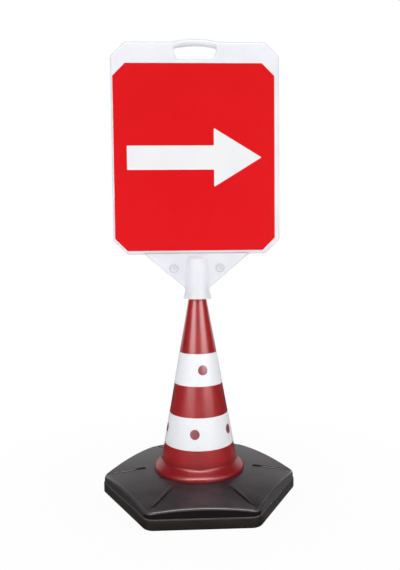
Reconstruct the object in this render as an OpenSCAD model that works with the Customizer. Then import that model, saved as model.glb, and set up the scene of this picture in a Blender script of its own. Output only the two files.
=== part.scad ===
// Cone sign: a two-sided sign panel with a hand hole, carried on a traffic cone with a weighted base.
// Millimetres, +Z up. The sign's front faces -Y, and the origin is the middle of the base's underside.

/* [Base] */
// Width of the base across its flats
base_across = 464; // [440:1:540]
// Radius of the base's upright corners
base_corner_r = 32; // [24:1:50]
// Height of the ballast slab
slab_h = 28; // [24:1:40]
// Rounding of the slab's upper and lower edges
slab_edge_r = 4; // [2:0.5:6]
// Depth of the relief under the slab
relief_h = 3; // [1:0.5:4]
// Width of the rim that the slab stands on
standing_rim_w = 34; // [24:1:50]
// Ledge of the slab that shows round the cover
ledge_w = 2; // [1.5:0.5:5]
// Height of the cone's seat above the slab
cover_h = 36; // [32:1:48]
// Wall of the base cover
cover_wall = 4; // [3:0.5:5]
// Height of the cover's edge above the slab, in the middle of a side
eave_mid_h = 24.5; // [20:0.5:28]
// Height of the cover's edge above the slab, at a corner
eave_corner_h = 15; // [11:0.5:17]
// Rounding of the cover's edge
eave_r = 7; // [4:0.5:8]
// Height of the six raised ribs on the cover
cover_rib_h = 3.5; // [2:0.5:5]
// Width of a cover rib at its inner end
cover_rib_in_w = 15; // [10:1:20]
// Width of a cover rib at its outer end
cover_rib_out_w = 7; // [5:0.5:10]

/* [Cone] */
// Height of the cone from its seat to its mouth
cone_h = 481; // [440:1:540]
// Outer radius of the foot's rim
cone_rim_r = 122.5; // [115:0.5:135]
// Outer radius of the straight cone where the foot starts to flare
cone_root_r = 102; // [96:0.5:108]
// Outer radius of the mouth
cone_mouth_r = 21.5; // [20:0.5:24]
// Wall of the cone
cone_wall = 3.5; // [3:0.1:4]
// Height of the flared foot
flare_h = 30; // [24:1:40]
// Height of the upright lip round the foot
lip_h = 6; // [4:0.5:8]
// Depth of the guide that holds the spigot in the mouth
guide_l = 75; // [60:1:90]

/* [Sleeves] */
// Thickness of a sleeve
sleeve_t = 1.8; // [1.2:0.1:2.2]
// Height of the lower sleeve's lower edge above the cone's seat
lower_sleeve_rise = 74; // [60:1:90]
// Height of the lower sleeve
lower_sleeve_h = 82; // [60:1:100]
// Number of round holes in the lower sleeve
lower_hole_count = 5; // [3:1:6]
// Height of the upper sleeve's lower edge above the cone's seat
upper_sleeve_rise = 236; // [215:1:260]
// Height of the upper sleeve
upper_sleeve_h = 84; // [60:1:100]
// Number of round holes in the upper sleeve
upper_hole_count = 3; // [2:1:4]
// Diameter of the studs that hold the sleeves
stud_d = 24.5; // [18:0.5:27]

/* [Neck spigot] */
// Radius of the collar that rests on the cone's mouth
collar_r = 25; // [23:0.5:27]
// Thickness of the collar
collar_h = 5; // [3:0.5:7]
// Radius of the neck that carries the sign
neck_r = 19; // [17:0.5:20]
// Length of the neck above the collar
neck_l = 82; // [70:1:85]
// Wall of the spigot
spigot_wall = 3; // [2:0.5:4]

/* [Sign panel] */
// Width of the panel
panel_w = 450; // [400:1:520]
// Height of the panel without the handle's arch
panel_h = 562; // [500:1:640]
// Thickness of the panel
panel_t = 24; // [22:1:30]
// Size of the cut corners
panel_chamfer = 38; // [30:1:50]
// Rounding of the outline's corners
panel_corner_r = 14; // [10:1:18]
// Rounding of the panel's edges
panel_edge_r = 7; // [4:0.5:8]
// Wall of the two half shells
shell_wall = 3; // [2:0.25:4]
// Height of the panel's lower edge above the cone's mouth
panel_rise = 105; // [103:1:115]
// Width of the handle's arch
handle_w = 142; // [136:1:160]
// Rise of the handle's arch above the panel
handle_rise = 8; // [4:0.5:14]
// Width of the hand hole at its top
hole_top_w = 122; // [104:1:128]
// Width of the hand hole at its bottom
hole_bottom_w = 97; // [80:1:104]
// Height of the hand hole's sides
hole_h = 32; // [28:1:36]
// Rise of the hand hole's arched top
hole_rise = 7; // [3:0.5:8]
// Distance from the panel's top edge to the top of the hole's sides
hole_drop = 13.5; // [12:0.5:20]

/* [Socket] */
// Width of the gusset at the panel
gusset_w = 284; // [240:1:320]
// Width of the gusset at its lower end
gusset_foot_w = 64; // [56:1:70]
// Thickness of the gusset
gusset_t = 20; // [16:1:21]
// Outer radius of the bell's rim
bell_rim_r = 39; // [36:0.5:44]
// Outer radius of the bell where it leaves the gusset
bell_waist_r = 32.5; // [31:0.5:34]
// Outer radius of the socket just under its domed top
bell_top_r = 29; // [27:0.5:30]
// Length of the flared rim below the gusset
bell_flare_h = 29; // [24:1:34]
// How far the bell's rim hangs below the cone's mouth
bell_drop = 16; // [12:1:20]

/* [Graphics] */
// Width of a graphic sheet
graphic_w = 430; // [380:1:432]
// Height of a graphic sheet
graphic_h = 496; // [440:1:500]
// Thickness of a graphic sheet
graphic_t = 1; // [0.8:0.1:1.5]
// Size of the sheet's cut corners
graphic_chamfer = 33; // [24:1:44]
// Distance from the panel's lower edge to the sheet
graphic_margin = 9; // [8:0.5:12]
// Distance of both sheets from the panel's middle, to the left of someone who faces the front
graphic_shift = 4; // [0:0.5:4]

/* [Fixings] */
// Distance between the two connectors on the gusset
connector_pitch = 124; // [110:1:134]
// Distance from the panel's lower edge down to the connectors
connector_drop = 38; // [30:1:42]
// Diameter of a connector's head
connector_head_d = 24; // [18:0.5:26]
// Diameter of the base bolts
bolt_d = 8; // [6:1:10]
// Diameter of the circle of base bolts
bolt_circle_d = 184; // [176:1:190]

/* [Hidden] */

// Colours
ballast_black = "#211f1f";
cover_black = "#2b2a2d";
cone_red = "#a3161d";
sleeve_white = "#eef0f3";
panel_white = "#e9eaf0";
graphic_red = "#e31f25";
connector_grey = "#c4c6cb";
zinc_grey = "#9a9da3";
insert_brass = "#b08d4a";

// Fits and cuts
overrun = 1;
fit_clearance = 0.1;
spigot_clearance = 0.2;
retainer_play = 0.3;
$fn = 96;
hull_fn = 32;

// The base is a hexagon
sides = 6;
side_angle = 360 / sides;
half_side_angle = side_angle / 2;
corner_steps = 5;
side_steps = 8;
edge_steps = 4;

// Heights of the stack
seat_z = slab_h + cover_h;
mouth_z = seat_z + cone_h;
panel_z = mouth_z + panel_rise;
panel_top_z = panel_z + panel_h;
bell_rim_z = mouth_z - bell_drop;

// Base slab
slab_apothem = base_across / 2;
step_share = 0.7;
step_h = (eave_corner_h - max(eave_r, cover_wall)) * step_share;
plinth_margin = 8;
plinth_r = cone_rim_r - plinth_margin;

// Base cover
cover_apothem = slab_apothem - ledge_w;
cover_corner_r = base_corner_r - ledge_w;
seat_margin = 4;
seat_r = cone_rim_r + seat_margin;
seat_hole_r = 60;
roof_shares = [0.85, 0.65, 0.45, 0.22];
roof_power = 1.35;
rib_inner_gap = 18;
rib_outer_gap = 10;
rib_in_r = seat_r + rib_inner_gap;
rib_out_r = corner_reach(cover_apothem, cover_corner_r) - eave_r - rib_outer_gap;
rib_steps = 8;
rib_outline_shares = [[-1, 0.3], [-0.75, 0.8], [-0.35, 1], [0.35, 1], [0.75, 0.8], [1, 0.3]];
rib_end_share = 0.35;

// Cone
cone_slope = (cone_root_r - cone_mouth_r) / (cone_h - flare_h);
cone_lean = atan(cone_slope);
flare_steps = 10;
lip_edge_r = 2;
foot_t = 4;
foot_hole_r = 72;
guide_wall = 3;
bore_r = cone_mouth_r - cone_wall;

// Sleeves
seat_depth = 1.2;
stud_clearance = 0.5;
stud_dip = 0.3;
lower_sleeve_z = seat_z + lower_sleeve_rise;
upper_sleeve_z = seat_z + upper_sleeve_rise;
lower_hole_turn = -99;
upper_hole_turn = -80;

// Neck spigot
stem_r = bore_r - spigot_clearance;
stem_tail = 7;
retainer_t = 2.5;
retainer_overhang = 4;
groove_depth = 1.2;
neck_top_edge = 3;
neck_top_z = mouth_z + collar_h + neck_l;

// Half shells
half_t = panel_t / 2;
gusset_half_t = gusset_t / 2;
gusset_corner_r = 6;
gusset_edge_r = 5;
gusset_lap = 14;
gusset_foot_z = bell_rim_z + bell_flare_h;
bell_top_z = panel_z - shell_wall - fit_clearance;
bell_dome_h = bell_top_r / 2;
bell_steps = 10;
bell_flare_power = 1.6;
web_t = 4;
panel_rib_t = 2.5;
panel_rib_columns = 4;
panel_rib_rows = 5;
handle_steps = 8;
hole_corner_r = 9;
hole_edge_r = 6;
hole_edge_steps = 3;
hole_steps = 10;
slice_t = 0.05;
connector_boss_wall = 3;

// Graphics
graphic_recess = 0.6;

// Fixings
connector_z = panel_z - connector_drop;
connector_head_h = 2.5;
connector_crown = 1;
connector_barrel_r = 4.5;
connector_shank_r = 2.8;
connector_lap = 8;
bolt_r = bolt_d / 2;
bolt_head_share = 0.66;
bolt_flats_share = 1.62;
bolt_head_h = bolt_d * bolt_head_share;
bolt_head_r = bolt_d * bolt_flats_share / 2 / cos(half_side_angle);
washer_r = 10;
washer_t = 1.6;
pocket_spare = 2;
pocket_r = washer_r + pocket_spare;
pocket_z = relief_h + washer_t + bolt_head_h + pocket_spare;
insert_wall = 2;
insert_l = 14;
insert_r = bolt_r + fit_clearance + insert_wall;
boss_wall = 3;
boss_cap = 3;
bolt_top_gap = 2;

// Unit vector at an angle in the XY plane
function dir(angle) = [cos(angle), sin(angle)];

// Distance from the middle to a rounded corner of the hexagon
function corner_reach(apothem, r) = (apothem - r) / cos(half_side_angle) + r;

// Points of a hexagon with rounded corners, with steps along each straight side
function hex_outline(apothem, r, steps) =
    let (reach = (apothem - r) / cos(half_side_angle))
    [for (k = [0 : sides - 1])
        let (
            middle = reach * dir(k * side_angle),
            next = reach * dir((k + 1) * side_angle),
            out = r * dir(k * side_angle + half_side_angle)
        )
        each concat(
            [for (j = [0 : corner_steps])
                middle + r * dir(k * side_angle - half_side_angle + side_angle * j / corner_steps)],
            [for (i = [1 : 1 : steps - 1]) middle + out + (next - middle) * i / steps]
        )];

// Faces of a skin over rings that each have n points
function skin_faces(ring_count, n, looped) = [
    for (j = [0 : ring_count - (looped ? 1 : 2)])
        for (i = [0 : n - 1])
            let (
                a = j * n + i,
                b = j * n + (i + 1) % n,
                c = ((j + 1) % ring_count) * n + (i + 1) % n,
                d = ((j + 1) % ring_count) * n + i
            )
            each [[a, d, c], [a, c, b]]
];

// Solid skinned over a stack of rings, closed by flat ends or looped round a hole
module skin(rings, looped = false) {
    n = len(rings[0]);
    last = (len(rings) - 1) * n;
    ends = looped ? [] : [[for (i = [0 : n - 1]) i], [for (i = [n - 1 : -1 : 0]) last + i]];
    polyhedron(
        points = [for (ring = rings) each ring],
        faces = concat(skin_faces(len(rings), n, looped), ends));
}

// Ring of points at one height
function level(outline, z) = [for (p = outline) [p[0], p[1], z]];

// Height of the cover's edge in a direction from the middle
function eave_z(angle) =
    let (
        turn = angle - side_angle * floor(angle / side_angle) - half_side_angle,
        share = tan(turn) / tan(half_side_angle)
    )
    slab_h + eave_mid_h - (eave_mid_h - eave_corner_h) * share * share;

// Height of the cover's roof at a share of the way from the seat to the edge
function roof_z(angle, share) = seat_z - (seat_z - eave_z(angle)) * pow(share, roof_power);

// Ring of the cover's roof at a share of the way from the seat to the edge
function roof_ring(outline, share, sink) = [
    for (p = outline)
        let (angle = atan2(p[1], p[0]), q = seat_r * dir(angle) * (1 - share) + p * share)
        [q[0], q[1], roof_z(angle, share) - sink]
];

// Ring of the cover's rounded edge, from its wall at 0 to its roof at 90 degrees
function eave_ring(turn) =
    let (inset = eave_r * (1 - cos(turn)))
    [for (p = hex_outline(cover_apothem - inset, cover_corner_r - inset, side_steps))
        [p[0], p[1], eave_z(atan2(p[1], p[0])) - eave_r * (1 - sin(turn))]];

// Ring of a circle in the directions of an outline's points
function circle_ring(outline, r, z) = [
    for (p = outline)
        let (q = r * dir(atan2(p[1], p[0])))
        [q[0], q[1], z]
];

// Outer radius of the straight cone
function cone_r(z) = cone_mouth_r + cone_slope * (mouth_z - z);

// Outer radius of the flared foot, from the lip at 0 to the straight cone at 1
function flare_r(share) = cone_rim_r + (cone_root_r - cone_rim_r) * share * share * (3 - 2 * share);
function flare_step_z(share) = seat_z + lip_h + (flare_h - lip_h) * share;

// Outer radius of the bell socket
function bell_r(z) =
    z < gusset_foot_z
        ? bell_waist_r
            + (bell_rim_r - bell_waist_r) * pow((gusset_foot_z - z) / bell_flare_h, bell_flare_power)
        : bell_top_r
            + (bell_waist_r - bell_top_r)
                * (bell_top_z - bell_dome_h - z) / (bell_top_z - bell_dome_h - gusset_foot_z);

// Half profile of the bell socket, drawn inwards by a wall and run past the rim
function bell_profile(wall, past) = concat(
    [[0, bell_rim_z - past], [bell_rim_r - wall, bell_rim_z - past]],
    [for (i = [(past > 0 ? 0 : 1) : bell_steps])
        let (z = bell_rim_z + bell_flare_h * i / bell_steps)
        [bell_r(z) - wall, z]],
    [for (i = [0 : bell_steps - 1])
        let (turn = 90 * i / bell_steps)
        [(bell_top_r - wall) * cos(turn),
            bell_top_z - bell_dome_h + (bell_dome_h - wall) * sin(turn)]],
    [[0, bell_top_z - wall]]
);

// Places of the base bolts, half a step off the cover's ribs
module at_bolts() {
    for (k = [0 : sides - 1])
        rotate((k + 0.5) * side_angle)
            translate([bolt_circle_d / 2, 0, 0])
                children();
}

// Slab rounded along its edges, with a plinth under the cone and a step that locates the cover
module ballast_slab() {
    turns = [for (i = [0 : edge_steps]) 90 * i / edge_steps];
    lower = [for (t = turns) [slab_edge_r * (1 - sin(t)), slab_edge_r * (1 - cos(t))]];
    upper = [for (t = turns) [slab_edge_r * (1 - cos(t)), slab_h - slab_edge_r * (1 - sin(t))]];
    step_inset = ledge_w + cover_wall + fit_clearance;
    color(ballast_black)
        difference() {
            union() {
                skin([for (s = concat(lower, upper))
                    level(hex_outline(slab_apothem - s[0], base_corner_r - s[0], 1), s[1])]);
                linear_extrude(slab_h + step_h)
                    polygon(hex_outline(slab_apothem - step_inset, base_corner_r - step_inset, 1));
                cylinder(h = seat_z - cover_wall, r = plinth_r);
            }
            translate([0, 0, -overrun])
                linear_extrude(relief_h + overrun)
                    polygon(hex_outline(slab_apothem - standing_rim_w, base_corner_r, 1));
            at_bolts() {
                cylinder(h = pocket_z, r = pocket_r);
                cylinder(h = seat_z, r = bolt_r + fit_clearance);
            }
        }
}

// Rib that follows the cover's roof towards a corner
module cover_rib() {
    reach = corner_reach(cover_apothem, cover_corner_r) - eave_r - seat_r;
    skin([for (i = [rib_steps : -1 : 0])
        let (
            r = rib_in_r + (rib_out_r - rib_in_r) * i / rib_steps,
            half_w = (cover_rib_in_w + (cover_rib_out_w - cover_rib_in_w) * i / rib_steps) / 2,
            rise = cover_rib_h * (i == 0 || i == rib_steps ? rib_end_share : 1),
            z = roof_z(0, (r - seat_r) / reach)
        )
        concat(
            [[r, half_w, z - cover_wall / 2], [r, -half_w, z - cover_wall / 2]],
            [for (s = rib_outline_shares) [r, half_w * s[0], z + rise * s[1]]]
        )]);
}

// Domed cover: six arched sides, a flat seat for the cone and a rib to each corner
module base_cover() {
    turns = [for (i = [0 : edge_steps]) 90 * i / edge_steps];
    wall_outline = hex_outline(cover_apothem, cover_corner_r, side_steps);
    edge_outline = hex_outline(cover_apothem - eave_r, cover_corner_r - eave_r, side_steps);
    inner_outline = hex_outline(cover_apothem - cover_wall, cover_corner_r - cover_wall, side_steps);
    color(cover_black)
        difference() {
            union() {
                skin(concat(
                    [level(wall_outline, slab_h)],
                    [for (t = turns) eave_ring(t)],
                    [for (s = roof_shares) roof_ring(edge_outline, s, 0)],
                    [circle_ring(wall_outline, seat_r, seat_z)],
                    [circle_ring(wall_outline, seat_hole_r, seat_z)],
                    [circle_ring(wall_outline, seat_hole_r, seat_z - cover_wall)],
                    [circle_ring(wall_outline, seat_r, seat_z - cover_wall)],
                    [roof_ring(edge_outline, roof_shares[2], cover_wall)],
                    [roof_ring(edge_outline, roof_shares[0], cover_wall)],
                    [[for (p = inner_outline)
                        [p[0], p[1], eave_z(atan2(p[1], p[0])) - max(eave_r, cover_wall)]]],
                    [level(inner_outline, slab_h)]
                ), looped = true);
                for (k = [0 : sides - 1])
                    rotate(k * side_angle)
                        cover_rib();
            }
            at_bolts()
                cylinder(h = seat_z + overrun, r = bolt_r + fit_clearance);
        }
}

// Hexagon-headed bolts that clamp the slab, the cover and the cone's foot from below
module base_bolts() {
    color(zinc_grey)
        at_bolts() {
            translate([0, 0, pocket_z - washer_t - bolt_head_h])
                cylinder(h = bolt_head_h, r = bolt_head_r, $fn = sides);
            translate([0, 0, pocket_z - washer_t])
                cylinder(h = seat_z + insert_l - bolt_top_gap - pocket_z + washer_t, r = bolt_r);
        }
}

// Washers between the bolt heads and the slab
module base_washers() {
    color(zinc_grey)
        at_bolts()
            translate([0, 0, pocket_z - washer_t])
                difference() {
                    cylinder(h = washer_t, r = washer_r);
                    translate([0, 0, -overrun])
                        cylinder(h = washer_t + 2 * overrun, r = bolt_r + fit_clearance);
                }
}

// Threaded inserts pressed into the cone's foot
module foot_inserts() {
    color(insert_brass)
        at_bolts()
            translate([0, 0, seat_z])
                difference() {
                    cylinder(h = insert_l, r = insert_r);
                    translate([0, 0, -overrun])
                        cylinder(h = insert_l + 2 * overrun, r = bolt_r + fit_clearance);
                }
}

// Places of the round studs, square to the cone's side at a height
module at_studs(z, count, turn) {
    for (k = [0 : count - 1])
        rotate(turn + k * 360 / count)
            translate([cone_r(z), 0, z])
                rotate([0, 90 - cone_lean, 0])
                    children();
}

// Band of the cone between two heights, from one depth under its surface to another
module cone_band(z, h, outer_depth, inner_depth) {
    rotate_extrude()
        polygon([
            [cone_r(z) - inner_depth, z],
            [cone_r(z) - outer_depth, z],
            [cone_r(z + h) - outer_depth, z + h],
            [cone_r(z + h) - inner_depth, z + h]
        ]);
}

// Studs that stand through a sleeve's holes, just under its surface
module sleeve_studs(z, h, count, turn) {
    intersection() {
        at_studs(z + h / 2, count, turn)
            translate([0, 0, -cone_wall])
                cylinder(h = 2 * cone_wall, r = stud_d / 2);
        cone_band(z, h, stud_dip + seat_depth - sleeve_t, cone_wall);
    }
}

// Groove of the outer profile that seats a sleeve
function sleeve_groove(z, h) = [
    [cone_r(z), z],
    [cone_r(z) - seat_depth, z],
    [cone_r(z + h) - seat_depth, z + h],
    [cone_r(z + h), z + h]
];

// Cone with a flared foot, inner bosses, sleeve seats and a guide for the spigot
module cone_shell() {
    shares = [for (i = [0 : flare_steps]) i / flare_steps];
    color(cone_red)
        difference() {
            union() {
                rotate_extrude()
                    polygon(concat(
                        [[foot_hole_r, seat_z], [cone_rim_r - lip_edge_r, seat_z]],
                        [[cone_rim_r, seat_z + lip_edge_r]],
                        [for (s = shares) [flare_r(s), flare_step_z(s)]],
                        sleeve_groove(lower_sleeve_z, lower_sleeve_h),
                        sleeve_groove(upper_sleeve_z, upper_sleeve_h),
                        [[cone_mouth_r, mouth_z], [bore_r, mouth_z]],
                        [[bore_r, mouth_z - guide_l], [bore_r + guide_wall, mouth_z - guide_l]],
                        [[bore_r + guide_wall, mouth_z - guide_wall / cone_slope]],
                        [for (i = [flare_steps : -1 : 0])
                            let (z = max(flare_step_z(shares[i]), seat_z + foot_t))
                            [flare_r(shares[i]) - cone_wall, z]],
                        [[foot_hole_r, seat_z + foot_t]]
                    ));
                sleeve_studs(lower_sleeve_z, lower_sleeve_h, lower_hole_count, lower_hole_turn);
                sleeve_studs(upper_sleeve_z, upper_sleeve_h, upper_hole_count, upper_hole_turn);
                at_bolts()
                    translate([0, 0, seat_z])
                        cylinder(h = insert_l + boss_cap, r = insert_r + fit_clearance + boss_wall);
            }
            at_bolts()
                translate([0, 0, seat_z - overrun])
                    cylinder(h = insert_l + overrun, r = insert_r + fit_clearance);
        }
}

// Sleeve in its seat, with round holes for the studs
module sleeve(z, h, count, turn) {
    difference() {
        cone_band(z, h, seat_depth - sleeve_t, seat_depth - fit_clearance);
        at_studs(z + h / 2, count, turn)
            translate([0, 0, -stud_d / 2])
                cylinder(h = stud_d, r = stud_d / 2 + stud_clearance);
    }
}

module lower_sleeve() {
    color(sleeve_white)
        sleeve(lower_sleeve_z, lower_sleeve_h, lower_hole_count, lower_hole_turn);
}

module upper_sleeve() {
    color(sleeve_white)
        sleeve(upper_sleeve_z, upper_sleeve_h, upper_hole_count, upper_hole_turn);
}

// Spigot: a grooved stem in the cone's guide, a collar on its mouth and a neck for the sign
module neck_spigot() {
    stem_end_z = mouth_z - guide_l - retainer_play - retainer_t - stem_tail;
    groove_z = mouth_z - guide_l - retainer_play - retainer_t;
    hollow_r = min(stem_r, neck_r) - spigot_wall;
    color(panel_white)
        rotate_extrude()
            polygon([
                [hollow_r, stem_end_z],
                [stem_r - groove_depth, stem_end_z],
                [stem_r, groove_z - stem_tail / 2],
                [stem_r, groove_z],
                [stem_r - groove_depth, groove_z],
                [stem_r - groove_depth, groove_z + retainer_t],
                [stem_r, groove_z + retainer_t],
                [stem_r, mouth_z],
                [collar_r, mouth_z],
                [collar_r, mouth_z + collar_h],
                [neck_r, mouth_z + collar_h],
                [neck_r, neck_top_z - neck_top_edge],
                [neck_r - neck_top_edge / 2, neck_top_z],
                [hollow_r, neck_top_z]
            ]);
}

// Snap ring in the stem's groove, under the end of the cone's guide
module spigot_retainer() {
    color(zinc_grey)
        translate([0, 0, mouth_z - guide_l - retainer_play - retainer_t])
            rotate_extrude()
                translate([stem_r - groove_depth + fit_clearance, 0])
                    square([groove_depth + retainer_overhang, retainer_t]);
}

// Turns a drawing in X and Z with its depth towards the front
module to_front() {
    rotate([90, 0, 0])
        children();
}

// Round button with a rolled front edge, the corner of a moulded plate
module button(r, depth, edge_r) {
    rotate_extrude($fn = hull_fn)
        polygon(concat(
            [[0, 0], [r, 0]],
            [for (i = [0 : edge_steps])
                let (turn = 90 * i / edge_steps)
                [r - edge_r * (1 - cos(turn)), depth - edge_r * (1 - sin(turn))]],
            [[0, depth]]
        ));
}

// Corners of the panel's outline, drawn inwards by an inset
function panel_corners(inset) =
    let (
        x = panel_w / 2 - inset,
        low = panel_z + inset,
        high = panel_top_z - inset,
        cut = panel_chamfer - inset * (2 - sqrt(2))
    )
    [[x, low + cut], [x, high - cut], [x - cut, high], [cut - x, high],
        [-x, high - cut], [-x, low + cut], [cut - x, low], [x - cut, low]];

// Corners of the gusset's outline, drawn inwards by an inset
function gusset_corners(inset) = [
    [gusset_w / 2 - inset, panel_z + gusset_lap],
    [inset - gusset_w / 2, panel_z + gusset_lap],
    [inset - gusset_w / 2, panel_z],
    [inset - gusset_foot_w / 2, gusset_foot_z],
    [gusset_foot_w / 2 - inset, gusset_foot_z],
    [gusset_w / 2 - inset, panel_z]
];

// Height of the handle's arch over the panel's top edge
function handle_arch(share) = handle_rise * (1 - share * share);

// Outline of the hand hole, grown by a wall
module hand_hole(wall) {
    top = panel_top_z - hole_drop - hole_corner_r;
    bottom = panel_top_z - hole_drop - hole_h + hole_corner_r;
    top_x = hole_top_w / 2 - hole_corner_r;
    bottom_x = hole_bottom_w / 2 - hole_corner_r;
    offset(r = hole_corner_r + wall, $fn = hull_fn)
        polygon(concat(
            [[-bottom_x, bottom], [bottom_x, bottom]],
            [for (i = [0 : hole_steps])
                let (share = 1 - 2 * i / hole_steps)
                [top_x * share, top + hole_rise * (1 - share * share)]]
        ));
}

// Outside of one half of the panel with its handle, gusset and bell socket
module half_outside() {
    to_front() {
        hull()
            for (p = panel_corners(panel_corner_r))
                translate(p)
                    button(panel_corner_r, half_t, panel_edge_r);
        hull()
            for (i = [0 : handle_steps])
                let (share = 2 * i / handle_steps - 1)
                translate([
                    (handle_w / 2 - panel_corner_r) * share,
                    panel_top_z - panel_corner_r + handle_arch(share)
                ])
                    button(panel_corner_r, half_t, panel_edge_r);
        hull()
            for (p = gusset_corners(gusset_corner_r))
                translate(p)
                    button(gusset_corner_r, gusset_half_t, gusset_edge_r);
    }
    rotate(180)
        rotate_extrude(angle = 180)
            polygon(bell_profile(0, 0));
}

// Hollow of one half: the panel, the gusset and the bell
module half_hollow() {
    to_front() {
        translate([0, 0, -overrun])
            linear_extrude(half_t - shell_wall + overrun)
                polygon(panel_corners(shell_wall));
        translate([0, 0, -overrun])
            linear_extrude(gusset_half_t - shell_wall + overrun)
                polygon([
                    [gusset_w / 2 - 2 * shell_wall, panel_z - shell_wall],
                    [2 * shell_wall - gusset_w / 2, panel_z - shell_wall],
                    [shell_wall - gusset_foot_w / 2, gusset_foot_z + shell_wall],
                    [gusset_foot_w / 2 - shell_wall, gusset_foot_z + shell_wall]
                ]);
    }
    rotate_extrude()
        polygon(bell_profile(shell_wall, overrun));
}

// Stiffening inside one half: panel ribs, the hand hole's wall, connector bosses and neck webs
module half_stiffening() {
    inner_w = panel_w - 2 * shell_wall;
    inner_z = panel_z + shell_wall;
    inner_h = panel_h - hole_drop - hole_h - 2 * shell_wall;
    to_front() {
        for (i = [1 : panel_rib_columns - 1])
            translate([inner_w * (i / panel_rib_columns - 1 / 2) - panel_rib_t / 2, inner_z])
                cube([panel_rib_t, inner_h, half_t - shell_wall / 2]);
        for (i = [1 : panel_rib_rows])
            translate([-inner_w / 2, inner_z + inner_h * i / panel_rib_rows - panel_rib_t])
                cube([inner_w, panel_rib_t, half_t - shell_wall / 2]);
        linear_extrude(half_t - shell_wall / 2)
            hand_hole(max(shell_wall, hole_edge_r));
        for (side = [-1, 1])
            translate([side * connector_pitch / 2, connector_z])
                cylinder(
                    h = gusset_half_t - shell_wall / 2,
                    r = connector_barrel_r + fit_clearance + connector_boss_wall);
    }
    rotate(180)
        for (z = neck_web_heights())
            rotate_extrude(angle = 180)
                translate([neck_r + spigot_clearance, z])
                    square([bell_r(z + web_t) - shell_wall / 2 - neck_r - spigot_clearance, web_t]);
}

// Lower faces of the webs that hold the neck: the lowest rests on the collar
function neck_web_heights() =
    let (low = mouth_z + collar_h, high = neck_top_z - neck_top_edge - web_t)
    [low, (low + high) / 2, high];

// Flare that rolls the hand hole's edge into the panel's face
module hand_hole_roll() {
    for (i = [1 : hole_edge_steps])
        hull()
            for (k = [i - 1, i])
                let (turn = 90 * k / hole_edge_steps)
                translate([0, 0, half_t - hole_edge_r * (1 - sin(turn))])
                    linear_extrude(slice_t)
                        hand_hole(hole_edge_r * (1 - cos(turn)));
}

// One half of the sign, cut for the hand hole, the graphic and the connectors
module half_shell() {
    difference() {
        union() {
            difference() {
                half_outside();
                half_hollow();
            }
            half_stiffening();
        }
        to_front() {
            translate([0, 0, -overrun])
                linear_extrude(panel_t)
                    hand_hole(0);
            hand_hole_roll();
            translate([0, 0, half_t - graphic_recess])
                linear_extrude(graphic_t)
                    polygon(graphic_corners(-fit_clearance));
            for (side = [-1, 1])
                translate([side * connector_pitch / 2, connector_z, -overrun])
                    cylinder(h = panel_t, r = connector_barrel_r + fit_clearance);
        }
    }
}

module sign_front_shell() {
    color(panel_white)
        half_shell();
}

module sign_rear_shell() {
    color(panel_white)
        mirror([0, 1, 0])
            half_shell();
}

// Corners of a graphic sheet, drawn inwards by an inset
function graphic_corners(inset) =
    let (
        x = graphic_w / 2 - inset,
        low = panel_z + graphic_margin + inset,
        high = panel_z + graphic_margin + graphic_h - inset,
        cut = graphic_chamfer - inset * (2 - sqrt(2))
    )
    [for (p = [[x, low + cut], [x, high - cut], [x - cut, high], [cut - x, high],
        [-x, high - cut], [-x, low + cut], [cut - x, low], [x - cut, low]]) [p[0] - graphic_shift, p[1]]];

// Sheet that lies in the shallow recess of a panel face
module graphic_sheet() {
    to_front()
        translate([0, 0, half_t - graphic_recess])
            linear_extrude(graphic_t)
                polygon(graphic_corners(0));
}

module front_graphic() {
    color(graphic_red)
        graphic_sheet();
}

module rear_graphic() {
    color(graphic_red)
        mirror([0, 1, 0])
            graphic_sheet();
}

// Crowned round head of a connector, from its seat outwards
module connector_head() {
    rotate_extrude()
        polygon([
            [0, 0],
            [connector_head_d / 2, 0],
            [connector_head_d / 2, connector_head_h - connector_crown],
            [connector_head_d / 2 - connector_crown, connector_head_h],
            [0, connector_head_h]
        ]);
}

// Front halves of the connectors: a head with a barrel that passes the parting plane
module connector_barrels() {
    color(connector_grey)
        for (side = [-1, 1])
            translate([side * connector_pitch / 2, 0, connector_z])
                to_front()
                    difference() {
                        union() {
                            translate([0, 0, gusset_half_t])
                                connector_head();
                            translate([0, 0, -connector_lap])
                                cylinder(h = gusset_half_t + connector_lap, r = connector_barrel_r);
                        }
                        translate([0, 0, -connector_lap - overrun])
                            cylinder(
                                h = gusset_half_t + connector_lap + overrun,
                                r = connector_shank_r + fit_clearance);
                    }
}

// Rear halves of the connectors: a head with a screw in the barrel
module connector_screws() {
    color(connector_grey)
        for (side = [-1, 1])
            translate([side * connector_pitch / 2, 0, connector_z])
                mirror([0, 1, 0])
                    to_front() {
                        translate([0, 0, gusset_half_t])
                            connector_head();
                        translate([0, 0, -connector_lap])
                            cylinder(h = gusset_half_t + connector_lap, r = connector_shank_r);
                    }
}

ballast_slab();
base_cover();
base_bolts();
base_washers();
foot_inserts();
cone_shell();
lower_sleeve();
upper_sleeve();
neck_spigot();
spigot_retainer();
sign_front_shell();
sign_rear_shell();
front_graphic();
rear_graphic();
connector_barrels();
connector_screws();
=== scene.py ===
"""Cone sign: moulded shells, sleeves, films and studio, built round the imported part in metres."""

import math

import bmesh
import bpy
from bpy.props import FloatProperty, FloatVectorProperty, IntProperty, PointerProperty
from mathutils import Matrix, Vector


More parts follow.
